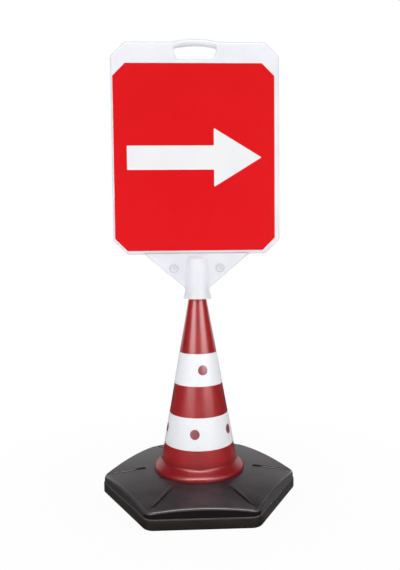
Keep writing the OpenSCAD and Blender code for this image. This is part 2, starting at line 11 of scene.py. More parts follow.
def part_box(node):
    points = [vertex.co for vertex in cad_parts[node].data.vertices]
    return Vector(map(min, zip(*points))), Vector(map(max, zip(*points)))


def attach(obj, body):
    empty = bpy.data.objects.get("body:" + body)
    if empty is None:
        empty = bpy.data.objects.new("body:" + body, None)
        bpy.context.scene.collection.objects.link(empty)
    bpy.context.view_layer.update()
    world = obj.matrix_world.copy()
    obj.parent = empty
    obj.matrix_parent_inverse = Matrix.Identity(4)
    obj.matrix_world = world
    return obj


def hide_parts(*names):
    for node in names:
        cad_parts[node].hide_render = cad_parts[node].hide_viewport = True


bl_info = {
    "name": "Cone Sign",
    "version": (1, 0, 0),
    "blender": (4, 5, 0),
    "location": "View3D > Sidebar > Cone Sign",
    "description": "Builds the finished shells, films and studio of a sign carried on a traffic cone",
    "category": "Add Mesh",
}

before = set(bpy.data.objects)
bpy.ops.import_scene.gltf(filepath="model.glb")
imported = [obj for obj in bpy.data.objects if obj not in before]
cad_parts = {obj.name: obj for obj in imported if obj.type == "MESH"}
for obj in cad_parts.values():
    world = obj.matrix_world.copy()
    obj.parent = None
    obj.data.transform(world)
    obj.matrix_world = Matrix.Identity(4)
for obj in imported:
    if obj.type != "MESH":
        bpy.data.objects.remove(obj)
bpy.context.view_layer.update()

MM = 0.001

# Places that the frame gives
SLAB_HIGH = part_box("ballast_slab")[1]
COVER_LOW, COVER_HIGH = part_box("base_cover")
WASHER_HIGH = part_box("base_washers")[1]
CONE_LOW, CONE_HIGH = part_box("cone_shell")
NECK_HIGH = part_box("neck_spigot")[1]
SHELL_LOW, SHELL_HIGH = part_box("sign_front_shell")
FILM_LOW, FILM_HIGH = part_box("front_graphic")
BARREL_LOW, BARREL_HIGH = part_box("connector_barrels")
SLEEVES = {name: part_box(name) for name in ("lower_sleeve", "upper_sleeve")}

# The base is a hexagon with a corner on the X axis
SIDES = 6
SIDE_ANGLE = 2 * math.pi / SIDES

# The halves of the sign and the way along Y that each faces
HALVES = {"front": -1, "rear": 1}

# Fineness: the turn between two points of an arc, and the steps along each stretch of a shape
ARC_STEP = math.radians(5)
ROLL_STEPS = 6
TURN_STEPS = 160
POCKET_STEPS = 36
SIDE_STEPS = 24
ROOF_STEPS = 16
RIB_STEPS = 30
FLARE_STEPS = 24
STUD_STEPS = 40
SLEEVE_STEPS = 120
SLEEVE_RISE_STEPS = 12
HOLE_STEPS = 8
BELL_STEPS = 20
GUSSET_STEPS = 4
DOME_STEPS = 16
NECK_STEPS = 30
RIM_STEPS = 14
HEAD_STEPS = 64

# Points closer than this become one
WELD = 0.02 * MM

# Width of the band of a flat face beside its rolled edge
FACE_BAND = 0.5 * MM

# Edges that bend by more than this stay sharp
CREASE = math.radians(40)

# Edges of a sleeve that bend by more than this are bevelled
SLEEVE_RIM = math.radians(60)

# Vertex layer that marks the cover's rolled edge, which gets a painted highlight
EDGE_HIGHLIGHT_LAYER = "edge_highlight"


def linear(code):
    """Linear opaque colour of an sRGB hex value."""
    shares = [int(code[i:i + 2], 16) / 255 for i in (1, 3, 5)]
    return (*(v / 12.92 if v <= 0.04045 else ((v + 0.055) / 1.055) ** 2.4 for v in shares), 1)


def length(name, millimetres, description):
    """Property that holds a length, with its default in millimetres."""
    return FloatProperty(
        name=name, description=description, default=millimetres * MM, unit="LENGTH", precision=5)


def angle(name, degrees, description):
    """Property that holds an angle, with its default in degrees."""
    return FloatProperty(
        name=name, description=description, default=math.radians(degrees), subtype="ANGLE")


def power(name, watts, description):
    """Property that holds the power of a lamp."""
    return FloatProperty(name=name, description=description, default=watts, subtype="POWER")


def colour(name, code, description):
    """Property that holds a colour, with its default as an sRGB hex value."""
    return FloatVectorProperty(
        name=name, description=description, default=linear(code), subtype="COLOR", size=4)


class ConeSignBase(bpy.types.PropertyGroup):
    """Sizes of the ballast slab and its cover."""

    corner: length("Corner radius", 32, "Radius of the base's upright corners")
    slab_roll: length("Slab rounding", 4, "Rounding of the slab's edges")
    rim: length("Standing rim", 34, "Width of the rim that the slab stands on")
    relief: length("Relief", 3, "Depth of the relief under the slab")
    pocket_spare: length("Pocket spare", 2, "Room round a washer in its pocket")
    eave_mid: length("Eave at mid side", 24.5, "Height of the cover's edge above the slab at mid side")
    eave_corner: length("Eave at a corner", 15, "Height of the cover's edge above the slab at a corner")
    eave_roll: length("Eave rounding", 7, "Rounding of the cover's edge")
    wall: length("Cover wall", 4, "Wall of the cover")
    seat_margin: length("Seat margin", 4, "Flat ring of the cover round the cone's foot")
    seat_hole: length("Seat hole", 60, "Radius of the hole in the cover's seat")
    roof_power: FloatProperty(
        name="Roof curve", description="How late the roof bends down towards its edge", default=1.35)
    rib_height: length("Rib height", 3, "Height of the six ribs on the cover")
    rib_inner: length("Rib inner width", 15, "Width of a rib beside the cone")
    rib_outer: length("Rib outer width", 7, "Width of a rib at the corner")
    rib_gap: length("Rib gap", 18, "Distance from the seat to a rib")
    rib_end_gap: length("Rib end gap", 10, "Distance from a rib to the rolled edge")
    rib_ramp: length("Rib ramp", 5, "Length of the slope at each end of a rib")


class ConeSignCone(bpy.types.PropertyGroup):
    """Sizes of the cone and its sleeves."""

    root: length("Root radius", 102, "Radius of the straight cone where the foot starts to flare")
    mouth: length("Mouth radius", 21.5, "Radius of the cone's mouth")
    flare: length("Flare height", 30, "Height of the flared foot")
    lip: length("Lip height", 6, "Height of the upright lip round the foot")
    wall: length("Wall", 3.5, "Wall of the cone")
    lip_roll: length("Lip rounding", 2.5, "Rounding of the lip's lower edge")
    mouth_roll: length("Mouth rounding", 1, "Rounding of the cone's mouth")
    proud: length("Sleeve stand", 0.6, "How far a sleeve stands proud of the cone")
    sleeve: length("Sleeve thickness", 1.7, "Thickness of a sleeve")
    sleeve_edge: length("Sleeve edge", 0.4, "Bevel of a sleeve's edges")
    stud: length("Stud diameter", 24.5, "Diameter of the studs that hold the sleeves")
    stud_gap: length("Stud gap", 0.5, "Gap between a stud and its hole")
    stud_dip: length("Stud dip", 0.3, "How far a stud stays under the sleeve's surface")
    stud_roll: length("Stud rounding", 1.25, "Rounding of a stud's edge")
    lower_studs: IntProperty(name="Lower studs", description="Holes in the lower sleeve", default=5)
    upper_studs: IntProperty(name="Upper studs", description="Holes in the upper sleeve", default=3)
    lower_turn: angle("Lower turn", -99, "Direction of the lower sleeve's first hole")
    upper_turn: angle("Upper turn", -80, "Direction of the upper sleeve's first hole")


class ConeSignPanel(bpy.types.PropertyGroup):
    """Sizes of the sign's half shells, films and connectors."""

    depth: length("Panel depth", 24, "Thickness of the panel")
    height: length("Panel height", 562, "Height of the panel without its handle")
    cut: length("Cut corners", 38, "Size of the panel's cut corners")
    corner: length("Corner radius", 14, "Rounding of the outline's corners")
    roll: length("Edge roll", 7, "Rounding of the panel's edges")
    handle: length("Handle width", 142, "Width of the handle's arch")
    handle_rise: length("Handle rise", 8, "Rise of the handle's arch")
    handle_foot: length("Handle foot", 20, "Rounding where the arch leaves the panel")
    hole_top: length("Hole top width", 122, "Width of the hand hole at its top")
    hole_bottom: length("Hole bottom width", 97, "Width of the hand hole at its bottom")
    hole_side: length("Hole side", 32, "Height of the hand hole's sides")
    hole_rise: length("Hole rise", 7, "Rise of the hand hole's arched top")
    hole_drop: length("Hole drop", 13.5, "Distance from the panel's top to the hole's sides")
    hole_corner: length("Hole corners", 9, "Rounding of the hand hole's corners")
    hole_roll: length("Hole roll", 6, "Rounding of the hand hole's edge")
    seam: length("Seam", 0.7, "Depth and half width of the groove where the halves meet")
    gusset: length("Gusset width", 284, "Width of the gusset at the panel")
    gusset_foot: length("Gusset foot", 64, "Width of the gusset at its lower end")
    gusset_depth: length("Gusset depth", 20, "Thickness of the gusset")
    gusset_roll: length("Gusset roll", 5, "Rounding of the gusset's edges")
    gusset_lap: length("Gusset lap", 6, "How far the gusset reaches up into the panel")
    waist: length("Bell waist", 32.5, "Outer radius of the bell where it leaves the gusset")
    shoulder: length("Bell shoulder", 29, "Outer radius of the bell just under its domed top")
    dome: length("Bell dome", 14.5, "Height of the bell's domed top")
    dome_gap: length("Dome gap", 3.1, "Distance from the dome to the panel's lower edge")
    bell_flare: length("Bell flare", 29, "Length of the flared rim below the gusset")
    bell_power: FloatProperty(
        name="Bell curve", description="How late the bell bends out towards its rim", default=1.6)
    bell_wall: length("Bell wall", 3, "Wall of the bell")
    bore_gap: length("Bore gap", 0.2, "Gap between the sign's bore and the spigot's neck")
    collar: length("Collar", 5, "Thickness of the spigot's collar, on which the sign rests")
    neck: length("Neck radius", 19, "Radius of the spigot's neck")
    fillet: length("Fillet", 7, "Reach of the soft blend between the bell and the gusset")
    film_cut: length("Film cut corners", 33, "Size of a film's cut corners")
    film_corner: length("Film corners", 1.5, "Rounding of a film's corners")
    film_roll: length("Film edge", 0.3, "Rounding of a film's edge")
    arrow: length("Arrow length", 360, "Length of the printed arrow")
    arrow_height: length("Arrow height", 156, "Height of the arrow's head")
    arrow_head: length("Arrow head", 128, "Length of the arrow's head")
    arrow_shaft: length("Arrow shaft", 64, "Height of the arrow's shaft")
    arrow_corner: length("Arrow corners", 2, "Rounding of the arrow's corners")
    ink: length("Arrow film", 0.15, "Thickness of the arrow's film")
    button: length("Connector diameter", 24, "Diameter of a connector's head")
    button_roll: length("Connector rounding", 1.6, "Rounding of a connector's head")
    button_dish: length("Connector dish", 0.8, "Depth of the shallow dish in a connector's head")
    shank: length("Connector shank", 9, "Diameter of a connector's shank")


class ConeSignColours(bpy.types.PropertyGroup):
    """Colours of the pieces and the floor."""

    panel: colour("Panel", "#E8E9EE", "Blow-moulded panel halves")
    panel_shade: colour("Panel shade", "#E0E1E8", "Thicker, duller patches of the panel halves")
    film: colour("Film", "#E3171D", "Printed film")
    film_shade: colour("Film shade", "#DC141A", "Faint unevenness of the printed film")
    arrow: colour("Arrow", "#F4F4F3", "Arrow on the film")
    cone: colour("Cone", "#A50E14", "Moulded cone")
    # Also the painted shade that darkens the cone's foot
    cone_marks_and_foot_shade: colour("Cone shade", "#840810", "Darker flow marks of the cone")
    # Also the painted sheen that makes the studs paler
    scuff_and_stud_sheen: colour("Cone scuff", "#8A6670", "Pale scuffs on the cone")
    sleeve: colour("Sleeve", "#ECEEF2", "Reflective sleeves")
    sleeve_shade: colour("Sleeve shade", "#DCDFE5", "Walls between the sleeves' cells")
    cover: colour("Cover", "#171317", "Moulded base cover")
    cover_dust: colour("Cover dust", "#6A5A60", "Dust that lies on the cover")
    # Painted highlight on the cover's rolled edge
    cover_edge_highlight: colour("Worn cover", "#6B6668", "Rubbed edge of the cover")
    slab: colour("Slab", "#16100D", "Pressed ballast slab")
    crumb: colour("Crumb", "#352820", "Paler crumbs in the ballast slab")
    # Painted highlight on the slab's upward faces, its ledge among them
    slab_top_highlight: colour("Slab dust", "#4A4340", "Dust that lies on the slab's ledge")
    connector: colour("Connector", "#B8BABF", "Moulded connectors")
    zinc: colour("Zinc", "#A9ACB1", "Zinc-plated bolts, washers and ring")
    zinc_shade: colour("Zinc shade", "#8E9296", "Duller crystals of the zinc")
    brass: colour("Brass", "#B8944F", "Turned inserts")
    floor: colour("Floor", "#F6F6F6", "Painted floor")
    floor_shade: colour("Floor shade", "#F2F2F2", "Mottle of the painted floor")


class ConeSignStage(bpy.types.PropertyGroup):
    """Camera and lamps of the studio."""

    eye: FloatVectorProperty(
        name="Camera place", description="Where the camera stands",
        default=(-0.0478, -1.4567, 0.638), subtype="TRANSLATION", unit="LENGTH")
    heading: angle("Heading", -2.17, "How far the camera turns to the left")
    pitch: angle("Pitch", 2.86, "How far the camera looks down")
    roll: angle("Roll", 0.61, "How far the camera leans to the right")
    lens: FloatProperty(
        name="Lens", description="Focal length of the camera", default=33.78, unit="CAMERA")
    side_power: power("Side lamps", 17.5, "Power of each side lamp")
    low_power: power("Low lamp", 8, "Power of the low lamp in front")
    top_power: power("Top lamp", 8, "Power of the top lamp")
    rear_power: power("Rear lamp", 14, "Power of the lamp behind")
    fill: FloatProperty(name="Fill", description="Strength of the world's light", default=0.36)


class ConeSignSettings(bpy.types.PropertyGroup):
    """All settings of the cone sign."""

    base: PointerProperty(type=ConeSignBase)
    cone: PointerProperty(type=ConeSignCone)
    panel: PointerProperty(type=ConeSignPanel)
    colours: PointerProperty(type=ConeSignColours)
    stage: PointerProperty(type=ConeSignStage)


# Outlines and skins

# Height of the corner that an arch is rounded from, as a share of the arch's rise
ARCH_PEAK = 1.5


def smooth_step(low, high, value):
    """Share from 0 to 1 that eases in and out between two values."""
    share = min(max((value - low) / (high - low), 0.0), 1.0)
    return share * share * (3 - 2 * share)


def smooth_max(a, b, reach):
    """Larger of two values, with a soft blend where they are close."""
    overlap = max(reach - abs(a - b), 0.0)
    return max(a, b) + overlap * overlap / (4 * reach)


def left_of(direction):
    """Direction a quarter turn to the left."""
    return Vector((-direction.y, direction.x))


def rounded(corners):
    """Points of a closed outline through corners (x, y, radius), each turned by an arc."""
    points = []
    for i, (x, y, radius) in enumerate(corners):
        here = Vector((x, y))
        before = (Vector(corners[i - 1][:2]) - here).normalized()
        after = (Vector(corners[(i + 1) % len(corners)][:2]) - here).normalized()
        if not radius:
            points.append(here)
            continue
        turn = math.pi - before.angle(after)
        steps = max(1, math.ceil(turn / ARC_STEP - 0.01))
        middle = here + (before + after).normalized() * radius / math.cos(turn / 2)
        start = here + before * radius * math.tan(turn / 2) - middle
        bend = math.copysign(turn, left_of(after).dot(before))
        points += [middle + Matrix.Rotation(bend * k / steps, 2) @ start for k in range(steps + 1)]
    return points


def arched(half_width, base, rise):
    """Corner (x, y, radius) over an arch that rises between two points at the same height."""
    peak = ARCH_PEAK * rise
    lean = math.atan(peak / half_width)
    return (0, base + peak, (peak - rise) / (1 / math.cos(lean) - 1))


def cut_corners(half_width, low, high, cut, radius, top=()):
    """Corners of a rectangle with its corners cut off, and more corners along its top edge."""
    x = half_width
    return [
        (x, low + cut, radius), (x, high - cut, radius), (x - cut, high, radius),
        *top,
        (cut - x, high, radius), (-x, high - cut, radius), (-x, low + cut, radius),
        (cut - x, low, radius), (x - cut, low, radius),
    ]


def drawn_in(outline, inset):
    """Counter-clockwise outline moved inwards along its own normals."""
    moved = []
    for before, here, after in zip(outline[-1:] + outline[:-1], outline, outline[1:] + outline[:1]):
        arriving = (here - before).normalized()
        leaving = (after - here).normalized()
        inward = left_of(arriving + leaving).normalized()
        moved.append(here + inward * inset / inward.dot(left_of(arriving)))
    return moved


def rolled(radius, depth, band=0):
    """Pairs of inset and height along a quarter-round edge, from the side to a flat band of the face."""
    turns = [math.pi / 2 * k / ROLL_STEPS for k in range(ROLL_STEPS + 1)]
    pairs = [(radius * (1 - math.cos(t)), depth - radius * (1 - math.sin(t))) for t in turns]
    return pairs + [(radius + band, depth)] if band else pairs


def add_ring(bm, points):
    """Row of new vertices."""
    return [bm.verts.new(p) for p in points]


def skin(bm, rings, around=True, looped=False):
    """Faces between neighbouring rows of vertices, closed around or from last to first as asked."""
    for low, high in zip(rings, rings[1:] + rings[:1] if looped else rings[1:]):
        for i in range(len(low) if around else len(low) - 1):
            j = (i + 1) % len(low)
            bm.faces.new((low[i], low[j], high[j], high[i]))


def fill(bm, *loops):
    """Flat face inside the first loop of vertices and outside the others."""
    edges = [bm.edges.get((loop[i - 1], loop[i])) for loop in loops for i in range(len(loop))]
    bmesh.ops.triangle_fill(bm, edges=edges, use_beauty=True)


def revolve(bm, profile, matrix=Matrix.Identity(4), steps=TURN_STEPS):
    """Closed profile (radius, height) turned about an axis."""
    turns = [2 * math.pi * k / steps for k in range(steps)]
    rings = [
        add_ring(bm, [matrix @ Vector((r * math.cos(t), r * math.sin(t), z)) for t in turns])
        for r, z in profile]
    skin(bm, rings, looped=True)


def make_piece(name, bm, body, material, nodes):
    """Turns a mesh into a piece that rides a body and stands for nodes of the frame."""
    bmesh.ops.remove_doubles(bm, verts=bm.verts, dist=WELD)
    bmesh.ops.recalc_face_normals(bm, faces=bm.faces)
    mesh = bpy.data.meshes.new(name)
    bm.to_mesh(mesh)
    bm.free()
    mesh.shade_smooth()
    mesh.set_sharp_from_angle(angle=CREASE)
    mesh.materials.append(material)
    piece = bpy.data.objects.new(name, mesh)
    bpy.context.scene.collection.objects.link(piece)
    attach(piece, body)
    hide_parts(*nodes)


# Materials

# Height of the cone's scuffed foot, whose lowest part is also darkened with painted shade
FOOT_SCUFF_AND_SHADE_HEIGHT = 90 * MM


def per(millimetres):
    """Texture scale whose features are so many millimetres across."""
    return 1 / (millimetres * MM)


def add(tree, kind, inputs=(), **settings):
    """Adds a shader node with its settings, and sets or links its inputs.

    The inputs are a dictionary by name, or values for the live sockets in order, such as a value and
    the two ranges of MapRange. A node given as a value links its first live output.
    """
    node = tree.nodes.new("ShaderNode" + kind)
    for name, value in settings.items():
        setattr(node, name, value)
    if isinstance(inputs, dict):
        pairs = [(node.inputs[name], value) for name, value in inputs.items()]
    else:
        pairs = zip([socket for socket in node.inputs if socket.enabled], inputs)
    for socket, value in pairs:
        if isinstance(value, bpy.types.Node):
            value = next(output for output in value.outputs if output.enabled)
        if isinstance(value, bpy.types.NodeSocket):
            tree.links.new(value, socket)
        else:
            socket.default_value = value
    return node


def new_material(name):
    """Empty material: the material, its node tree and its object coordinates."""
    material = bpy.data.materials.new(name)
    material.use_nodes = True
    tree = material.node_tree
    tree.nodes.clear()
    return material, tree, add(tree, "TexCoord").outputs["Object"]


def blow_moulded_polyethylene(colours):
    """Blow-moulded polyethylene: waxy white, cloudy where the wall is thicker, with a faint orange peel."""
    material, tree, place = new_material("Blow-moulded polyethylene")
    cloud = add(tree, "TexNoise", {"Vector": place, "Scale": per(110), "Detail": 3})
    thick = add(tree, "MapRange", (cloud, 0.35, 0.7, 0, 1))
    # The real peel is about 1.5 mm and is drawn coarser so that it shows
    peel = add(tree, "TexNoise", {"Vector": place, "Scale": per(6), "Detail": 1})
    shader = add(tree, "BsdfPrincipled", {
        "Base Color": add(tree, "Mix", (thick, colours.panel, colours.panel_shade), data_type="RGBA"),
        "IOR": 1.53,
        "Normal": add(tree, "Bump", {"Height": peel, "Strength": 0.25, "Distance": 0.25 * MM}),
        "Roughness": add(tree, "MapRange", (peel, 0.3, 0.7, 0.4, 0.5)),
        "Subsurface Weight": 0.6,
        "Subsurface Radius": (1, 1, 1),
        "Subsurface Scale": 9 * MM})
    add(tree, "OutputMaterial", (shader,))
    return material


def laminated_vinyl(name, tint, shade):
    """Cast vinyl film under a clear fluoropolymer laminate: even colour, sharp gloss, slight waves."""
    material, tree, place = new_material(name)
    wave = add(tree, "TexNoise", {"Vector": place, "Scale": per(140), "Detail": 2})
    grain = add(tree, "TexNoise", {"Vector": place, "Scale": per(5), "Detail": 2})
    height = add(tree, "Math", (wave, grain), operation="ADD")
    shader = add(tree, "BsdfPrincipled", {
        "Base Color": add(tree, "Mix", (wave, tint, shade), data_type="RGBA"),
        "IOR": 1.42,
        "Normal": add(tree, "Bump", {"Height": height, "Strength": 0.05, "Distance": 0.4 * MM}),
        "Roughness": add(tree, "MapRange", (grain, 0.3, 0.7, 0.12, 0.16))})
    add(tree, "OutputMaterial", (shader,))
    return material


def moulded_soft_pvc(colours):
    """Injection-moulded soft PVC: glossy red with faint flow marks and scuffs at its foot, painted shade
    darkening the foot, and a painted sheen on the studs.
    """
    material, tree, place = new_material("Moulded soft PVC")
    drawn = add(tree, "Mapping", {"Vector": place, "Scale": (1, 1, 0.12)})
    flow = add(tree, "TexNoise", {"Vector": drawn, "Scale": per(14), "Detail": 3})
    marks = add(tree, "MapRange", (flow, 0.35, 0.7, 0, 0.6))
    height = add(tree, "SeparateXYZ", (place,)).outputs["Z"]
    low = add(tree, "MapRange", (height, CONE_LOW.z, CONE_LOW.z + FOOT_SCUFF_AND_SHADE_HEIGHT, 1, 0.25))
    # Painted shade: the lowest part of the foot is darkened to the darker red
    foot = add(tree, "MapRange", (low, 0.6, 0.75, 0, 1))
    marks_and_foot_shade = add(tree, "Math", (marks, foot), operation="MAXIMUM")
    red = add(tree, "Mix", (marks_and_foot_shade, colours.cone, colours.cone_marks_and_foot_shade), data_type="RGBA")
    rub = add(tree, "TexNoise", {"Vector": place, "Scale": per(9), "Detail": 5, "Roughness": 0.7})
    scratch = add(tree, "MapRange", (rub, 0.62, 0.8, 0, 0.45))
    scuff_and_stud_sheen = add(tree, "Math", (low, scratch), operation="MULTIPLY")
    # At a sleeve only the studs show, and they are painted paler all over: a painted sheen
    for bottom, top in SLEEVES.values():
        span = (top.z - bottom.z) / 2
        at_sleeve = add(tree, "Math", (height, bottom.z + span, span), operation="COMPARE")
        painted_sheen = add(tree, "MapRange", (at_sleeve, 0, 1, 0, 0.42))
        scuff_and_stud_sheen = add(tree, "Math", (scuff_and_stud_sheen, painted_sheen), operation="MAXIMUM")
    shader = add(tree, "BsdfPrincipled", {
        "Base Color": add(tree, "Mix", (scuff_and_stud_sheen, red, colours.scuff_and_stud_sheen), data_type="RGBA"),
        "IOR": 1.54,
        "Normal": add(tree, "Bump", {"Height": flow, "Strength": 0.15, "Distance": 0.3 * MM}),
        "Roughness": add(tree, "MapRange", (low, 0.3, 0.8, 0.3, 0.34)),
        "Coat Weight": add(tree, "MapRange", (low, 0.3, 0.8, 1, 0.15)),
        "Coat Roughness": 0.3})
    add(tree, "OutputMaterial", (shader,))
    return material


def reflective_sleeve(colours):
    """Reflective plastic sleeve: satin white, with the faint net of its sealed cells."""
    material, tree, place = new_material("Reflective sleeve")
    # The real cells are about 3 mm and are drawn wider so that they show
    cells = add(
        tree, "TexVoronoi", {"Vector": place, "Scale": per(7), "Randomness": 0.35},
        feature="DISTANCE_TO_EDGE")
    wall = add(tree, "MapRange", (cells, 0.02, 0.1, 0.5, 0))
    soil = add(tree, "TexNoise", {"Vector": place, "Scale": per(45), "Detail": 4})
    net = add(tree, "Math", (wall, soil), operation="MULTIPLY")
    shader = add(tree, "BsdfPrincipled", {
        "Base Color": add(tree, "Mix", (net, colours.sleeve, colours.sleeve_shade), data_type="RGBA"),
        "IOR": 1.49,
        "Normal": add(tree, "Bump", {"Height": cells, "Strength": 0.1, "Distance": 0.2 * MM}),
        "Roughness": add(tree, "MapRange", (soil, 0.3, 0.7, 0.38, 0.5))})
    add(tree, "OutputMaterial", (shader,))
    return material


def moulded_black_polymer(colours):
    """Moulded recycled polymer: black with a fine leather grain, glossy walls, a satin dusty roof, and a
    painted highlight on the rolled edge.
    """
    material, tree, place = new_material("Moulded recycled polymer")
    # The real grain is about 1 mm and is drawn coarser so that it shows
    grain = add(tree, "TexVoronoi", {"Vector": place, "Scale": per(5)}, feature="SMOOTH_F1")
    drift = add(tree, "TexNoise", {"Vector": place, "Scale": per(55), "Detail": 5, "Roughness": 0.65})
    up = add(tree, "SeparateXYZ", (add(tree, "NewGeometry").outputs["Normal"],)).outputs["Z"]
    facing_up = add(tree, "MapRange", (up, 0.6, 1, 0, 1))
    patch = add(tree, "MapRange", (drift, 0.4, 0.75, 0, 0.3))
    dust = add(tree, "Math", (facing_up, patch), operation="MULTIPLY")
    black = add(tree, "Mix", (dust, colours.cover, colours.cover_dust), data_type="RGBA")
    # The rolled edge is painted pale: a painted highlight along the cover's edge
    painted_sheen = add(tree, "Attribute", attribute_name=EDGE_HIGHLIGHT_LAYER).outputs["Fac"]
    pale = add(tree, "MapRange", (painted_sheen, 0, 1, 0, 0.32))
    on_roof = add(tree, "MapRange", (up, 0.8, 0.95, 0, 1))
    satin = add(tree, "MapRange", (drift, 0.3, 0.7, 0.4, 0.5))
    shader = add(tree, "BsdfPrincipled", {
        "Base Color": add(tree, "Mix", (pale, black, colours.cover_edge_highlight), data_type="RGBA"),
        "IOR": 1.5,
        "Normal": add(tree, "Bump", {"Height": grain, "Strength": 0.18, "Distance": 0.3 * MM}),
        "Roughness": add(tree, "Mix", (on_roof, 0.2, satin))})
    add(tree, "OutputMaterial", (shader,))
    return material


def pressed_crumb_rubber(colours):
    """Pressed crumb rubber: matt brown-black, with paler crumbs of a few millimetres, and painted paler on
    top as a painted highlight.
    """
    material, tree, place = new_material("Pressed crumb rubber")
    crumbs = add(tree, "TexVoronoi", {"Vector": place, "Scale": per(5)})
    fleck = add(tree, "MapRange", (crumbs.outputs["Color"], 0.55, 1, 0, 0.6))
    stain = add(tree, "TexNoise", {"Vector": place, "Scale": per(40), "Detail": 4})
    flecks = add(tree, "Math", (fleck, stain), operation="MULTIPLY")
    rubber = add(tree, "Mix", (flecks, colours.slab, colours.crumb), data_type="RGBA")
    up = add(tree, "SeparateXYZ", (add(tree, "NewGeometry").outputs["Normal"],)).outputs["Z"]
    # Painted highlight: upward faces, the ledge among them, are drawn paler
    facing_up = add(tree, "MapRange", (up, 0.3, 0.9, 0, 1))
    dull = add(tree, "MapRange", (stain, 0.3, 0.7, 0.45, 0.58))
    shader = add(tree, "BsdfPrincipled", {
        "Base Color": add(tree, "Mix", (facing_up, rubber, colours.slab_top_highlight), data_type="RGBA"),
        "IOR": 1.5,
        "Normal": add(tree, "Bump", {"Height": crumbs, "Strength": 0.35, "Distance": 0.6 * MM}),
        "Roughness": add(tree, "Mix", (facing_up, dull, 0.9))})
    add(tree, "OutputMaterial", (shader,))
    return material


def moulded_nylon(colours):
    """Moulded nylon: pale grey, slightly uneven, with the sheen of a polished mould."""
    material, tree, place = new_material("Moulded nylon")
    cloud = add(tree, "TexNoise", {"Vector": place, "Scale": per(6), "Detail": 3})
    shader = add(tree, "BsdfPrincipled", {
        "Base Color": add(tree, "Mix", (cloud, colours.connector, colours.panel_shade), data_type="RGBA"),
        "IOR": 1.53,
        "Normal": add(tree, "Bump", {"Height": cloud, "Strength": 0.1, "Distance": 0.2 * MM}),
        "Roughness": add(tree, "MapRange", (cloud, 0.3, 0.7, 0.35, 0.5))})
    add(tree, "OutputMaterial", (shader,))
    return material


def moulded_polypropylene(colours):
    """Moulded polypropylene: white, scored round by the sign that turns on it."""
    material, tree, place = new_material("Moulded polypropylene")
    drawn = add(tree, "Mapping", {"Vector": place, "Scale": (0.1, 0.1, 1)})
    score = add(tree, "TexNoise", {"Vector": drawn, "Scale": per(3), "Detail": 3})
    shader = add(tree, "BsdfPrincipled", {
        "Base Color": add(tree, "Mix", (score, colours.panel, colours.panel_shade), data_type="RGBA"),
        "IOR": 1.49,
        "Normal": add(tree, "Bump", {"Height": score, "Strength": 0.2, "Distance": 0.2 * MM}),
        "Roughness": add(tree, "MapRange", (score, 0.3, 0.7, 0.35, 0.55))})
    add(tree, "OutputMaterial", (shader,))
    return material


def zinc_plated_steel(colours):
    """Zinc-plated steel: cool grey metal with small crystals of different dullness."""
    material, tree, place = new_material("Zinc-plated steel")
    crystals = add(tree, "TexVoronoi", {"Vector": place, "Scale": per(2.5)}).outputs["Color"]
    grey = add(tree, "MapRange", (crystals, 0, 1, 0, 0.8))
    shader = add(tree, "BsdfPrincipled", {
        "Base Color": add(tree, "Mix", (grey, colours.zinc, colours.zinc_shade), data_type="RGBA"),
        "Metallic": 1,
        "Roughness": add(tree, "MapRange", (crystals, 0, 1, 0.28, 0.45))})
    add(tree, "OutputMaterial", (shader,))
    return material


def turned_brass(colours):
    """Turned brass: warm metal with the fine rings of the lathe."""
    material, tree, place = new_material("Turned brass")
    drawn = add(tree, "Mapping", {"Vector": place, "Scale": (0.05, 0.05, 1)})
    rings = add(tree, "TexNoise", {"Vector": drawn, "Scale": per(0.8), "Detail": 2})
    shader = add(tree, "BsdfPrincipled", {
        "Base Color": add(tree, "Mix", (rings, colours.brass, colours.zinc_shade), data_type="RGBA"),
        "Metallic": 1,
        "Normal": add(tree, "Bump", {"Height": rings, "Strength": 0.2, "Distance": 0.05 * MM}),
        "Roughness": add(tree, "MapRange", (rings, 0.3, 0.7, 0.25, 0.4))})
    add(tree, "OutputMaterial", (shader,))
    return material


# Base

# Shares of a rib's half width and height, from its flat top down to its root in the roof
RIB_HALF = ((0.3, 1), (0.7, 0.9), (0.93, 0.5), (1, -0.3))
RIB_SECTION = [(-across, up) for across, up in reversed(RIB_HALF)] + list(RIB_HALF)
RIB_ROOT = RIB_HALF[-1][1]

# Share of its height that a rib keeps at its ends
RIB_END = 0.02


def hexagon(apothem, radius, side_steps=1):
    """Outline of a hexagon with rounded corners and more points along its sides."""
    reach = apothem / math.cos(SIDE_ANGLE / 2)
    turns = [SIDE_ANGLE * k for k in range(SIDES)]
    arcs = rounded([(reach * math.cos(t), reach * math.sin(t), radius) for t in turns])
    per_corner = len(arcs) // SIDES
    points = []
    for i, here in enumerate(arcs):
        points.append(here)
        if (i + 1) % per_corner == 0:
            after = arcs[(i + 1) % len(arcs)]
            points += [here.lerp(after, k / side_steps) for k in range(1, side_steps)]
    return points


def raised(outline, height):
    """Points of a flat outline at one height."""
    return [Vector((p.x, p.y, height)) for p in outline]


def bolt_middles():
    """Distance of the base bolts from the middle, and their middles, half a step off the corners."""
    reach = (WASHER_HIGH.y - WASHER_HIGH.x) / (1 - math.cos(SIDE_ANGLE / 2))
    turns = [SIDE_ANGLE * (k + 0.5) for k in range(SIDES)]
    return reach, [reach * Vector((math.cos(t), math.sin(t))) for t in turns]


